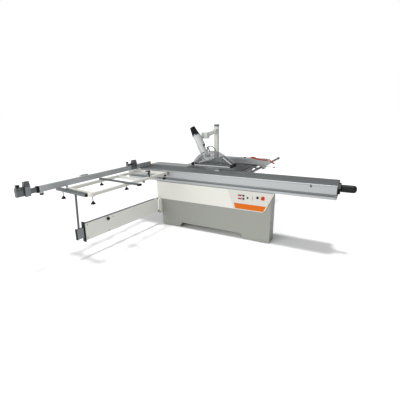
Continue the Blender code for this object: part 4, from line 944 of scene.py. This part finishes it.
# %% Bracket of the handle and deflectors inside the hood
BRACKET_Y, DEFLECTOR_Y = 0.420, 0.380
BRACKET = [(0.588, 1.166), (0.604, 1.166), (0.619, 1.212), (0.638, 1.169), (0.652, 1.169), (0.624, 1.238),
           (0.610, 1.238)]
DEFLECTORS = {
    "low_deflector": [(0.535, 1.118), (0.572, 1.056), (0.450, 0.982), (0.400, 0.996)],
    "high_deflector": [(0.585, 1.130), (0.666, 1.150), (0.690, 1.093), (0.604, 1.082)],
}
bracket = plate("handle_bracket", [(x, BRACKET_Y, z) for x, z in BRACKET], y=0.016)
fitted(softened(bracket, 0.002), DARK_STEEL, "guard_hood")
for name, corners in DEFLECTORS.items():
    deflector = plate(name, [(x, DEFLECTOR_Y, z) for x, z in corners], y=0.003)
    fitted(softened(deflector, 0.0008), PALE_PVC, "guard_hood")

# %% [markdown]
# The duct carries a slide rod at its side: the hood hangs on it and is lifted by its arched handle. A
# band closes the rubber cuff on the duct, and a thin latch rod runs along its other side.

# %% Duct, band and slide rod
DUCT_FOOT = Vector((0.527, 0.428, 1.187))
DUCT_RUN = Vector((-0.476, 0.0, 0.879)).normalized()
DUCT_SIDE = Vector((0.879, 0.0, 0.476)).normalized()


def on_duct(along, across, y=0.0):
    """A place beside the duct's axis, with across towards the column."""
    place = DUCT_FOOT + DUCT_RUN * along + DUCT_SIDE * across
    return (place.x, place.y + y, place.z)


band = turned("cuff_band", on_duct(0.256, 0), on_duct(1.0, 0), [
    (0, 0.0600), (0.0008, 0.0612), (0.012, 0.0606), (0.0128, 0.0594)], 48)
fitted(band, ZINC_PLATE, "guard_hood")
ROD_SIDE, LATCH_SIDE = 0.070, -0.062
rod_piece = turned("slide_rod", on_duct(0.052, ROD_SIDE), on_duct(1.0, ROD_SIDE), [
    (0, 0.0055), (0.001, 0.0062), (0.195, 0.0062), (0.196, 0.0055)], 24)
fitted(rod_piece, ZINC_PLATE, "guard_hood")
rod_knob = turned("slide_rod_knob", on_duct(0.056, ROD_SIDE, -0.012), on_duct(0.056, ROD_SIDE, -0.05), [
    (0, 0.010), (0.008, 0.011), (0.010, 0.017), (0.022, 0.018), (0.026, 0.014)], 32)
fitted(rod_knob, BLACK_NYLON, "guard_hood")
latch = turned("duct_latch_rod", on_duct(-0.022, LATCH_SIDE), on_duct(1.0, LATCH_SIDE), [
    (0, 0.0042), (0.001, 0.0050), (0.138, 0.0050), (0.139, 0.0042)], 20)
fitted(latch, ZINC_PLATE, "guard_hood")

# %% Cap of the column
column_cap = block("column_cap", (0.1055, 1.7095, 1.496), (0.1865, 1.7905, 1.5340))
pick(column_cap, "FACE", lambda face: face.normal.z > 0.9)
bpy.ops.mesh.inset(thickness=0.010, depth=0.002)
bpy.ops.object.mode_set(mode="OBJECT")
fitted(softened(column_cap, 0.003), MOTOR_ENAMEL, "machine")

# %% [markdown]
# ## Floor and light
# The machine stands on a pale floor in a white room. A broad lamp overhead gives the soft shadows
# beside the base, and a second one near the camera lights the front. The room's own light fills the
# rest.

# %% Floor and room
deselect()
bpy.ops.mesh.primitive_plane_add(size=200, location=(0, 0, cad_low.z - 0.0005))
floor = settled("floor")
FLOOR_PAINT = started("pale_floor", {"Roughness": 0.95, SPEC: 0.0, "Base Color": linear("F4F4F5")})[0]
floor.data.materials.append(FLOOR_PAINT)

world = bpy.data.worlds.new("white_room")
world.use_nodes = True
room = world.node_tree
fill = room.nodes["Background"]
WHITE, FILL_LIGHT, WALL_LIGHT = (1, 1, 1, 1), 0.45, 1.0
fill.inputs["Color"].default_value = WHITE
fill.inputs["Strength"].default_value = FILL_LIGHT
wall = add(room, "ShaderNodeBackground", {"Color": WHITE, "Strength": WALL_LIGHT})
seen = add(room, "ShaderNodeLightPath")
either = add(room, "ShaderNodeMixShader", {}, {
    0: seen.outputs["Is Camera Ray"], 1: fill.outputs["Background"], 2: wall.outputs["Background"]})
room.links.new(either.outputs["Shader"], room.nodes["World Output"].inputs["Surface"])
bpy.context.scene.world = world


# %% Lamps
def sun(name, toward, softness, power):
    """A far lamp whose light falls along the given direction, with soft-edged shadows."""
    data = bpy.data.lights.new(name, "SUN")
    data.angle, data.energy = math.radians(softness), power
    made = bpy.data.objects.new(name, data)
    bpy.context.scene.collection.objects.link(made)
    made.matrix_world = Vector(toward).to_track_quat("-Z", "Y").to_matrix().to_4x4()


sun("overhead_lamp", toward=(0.02, 0.02, -1.0), softness=9, power=2.4)
sun("front_lamp", toward=(0.40, 1.0, -0.35), softness=40, power=1.85)
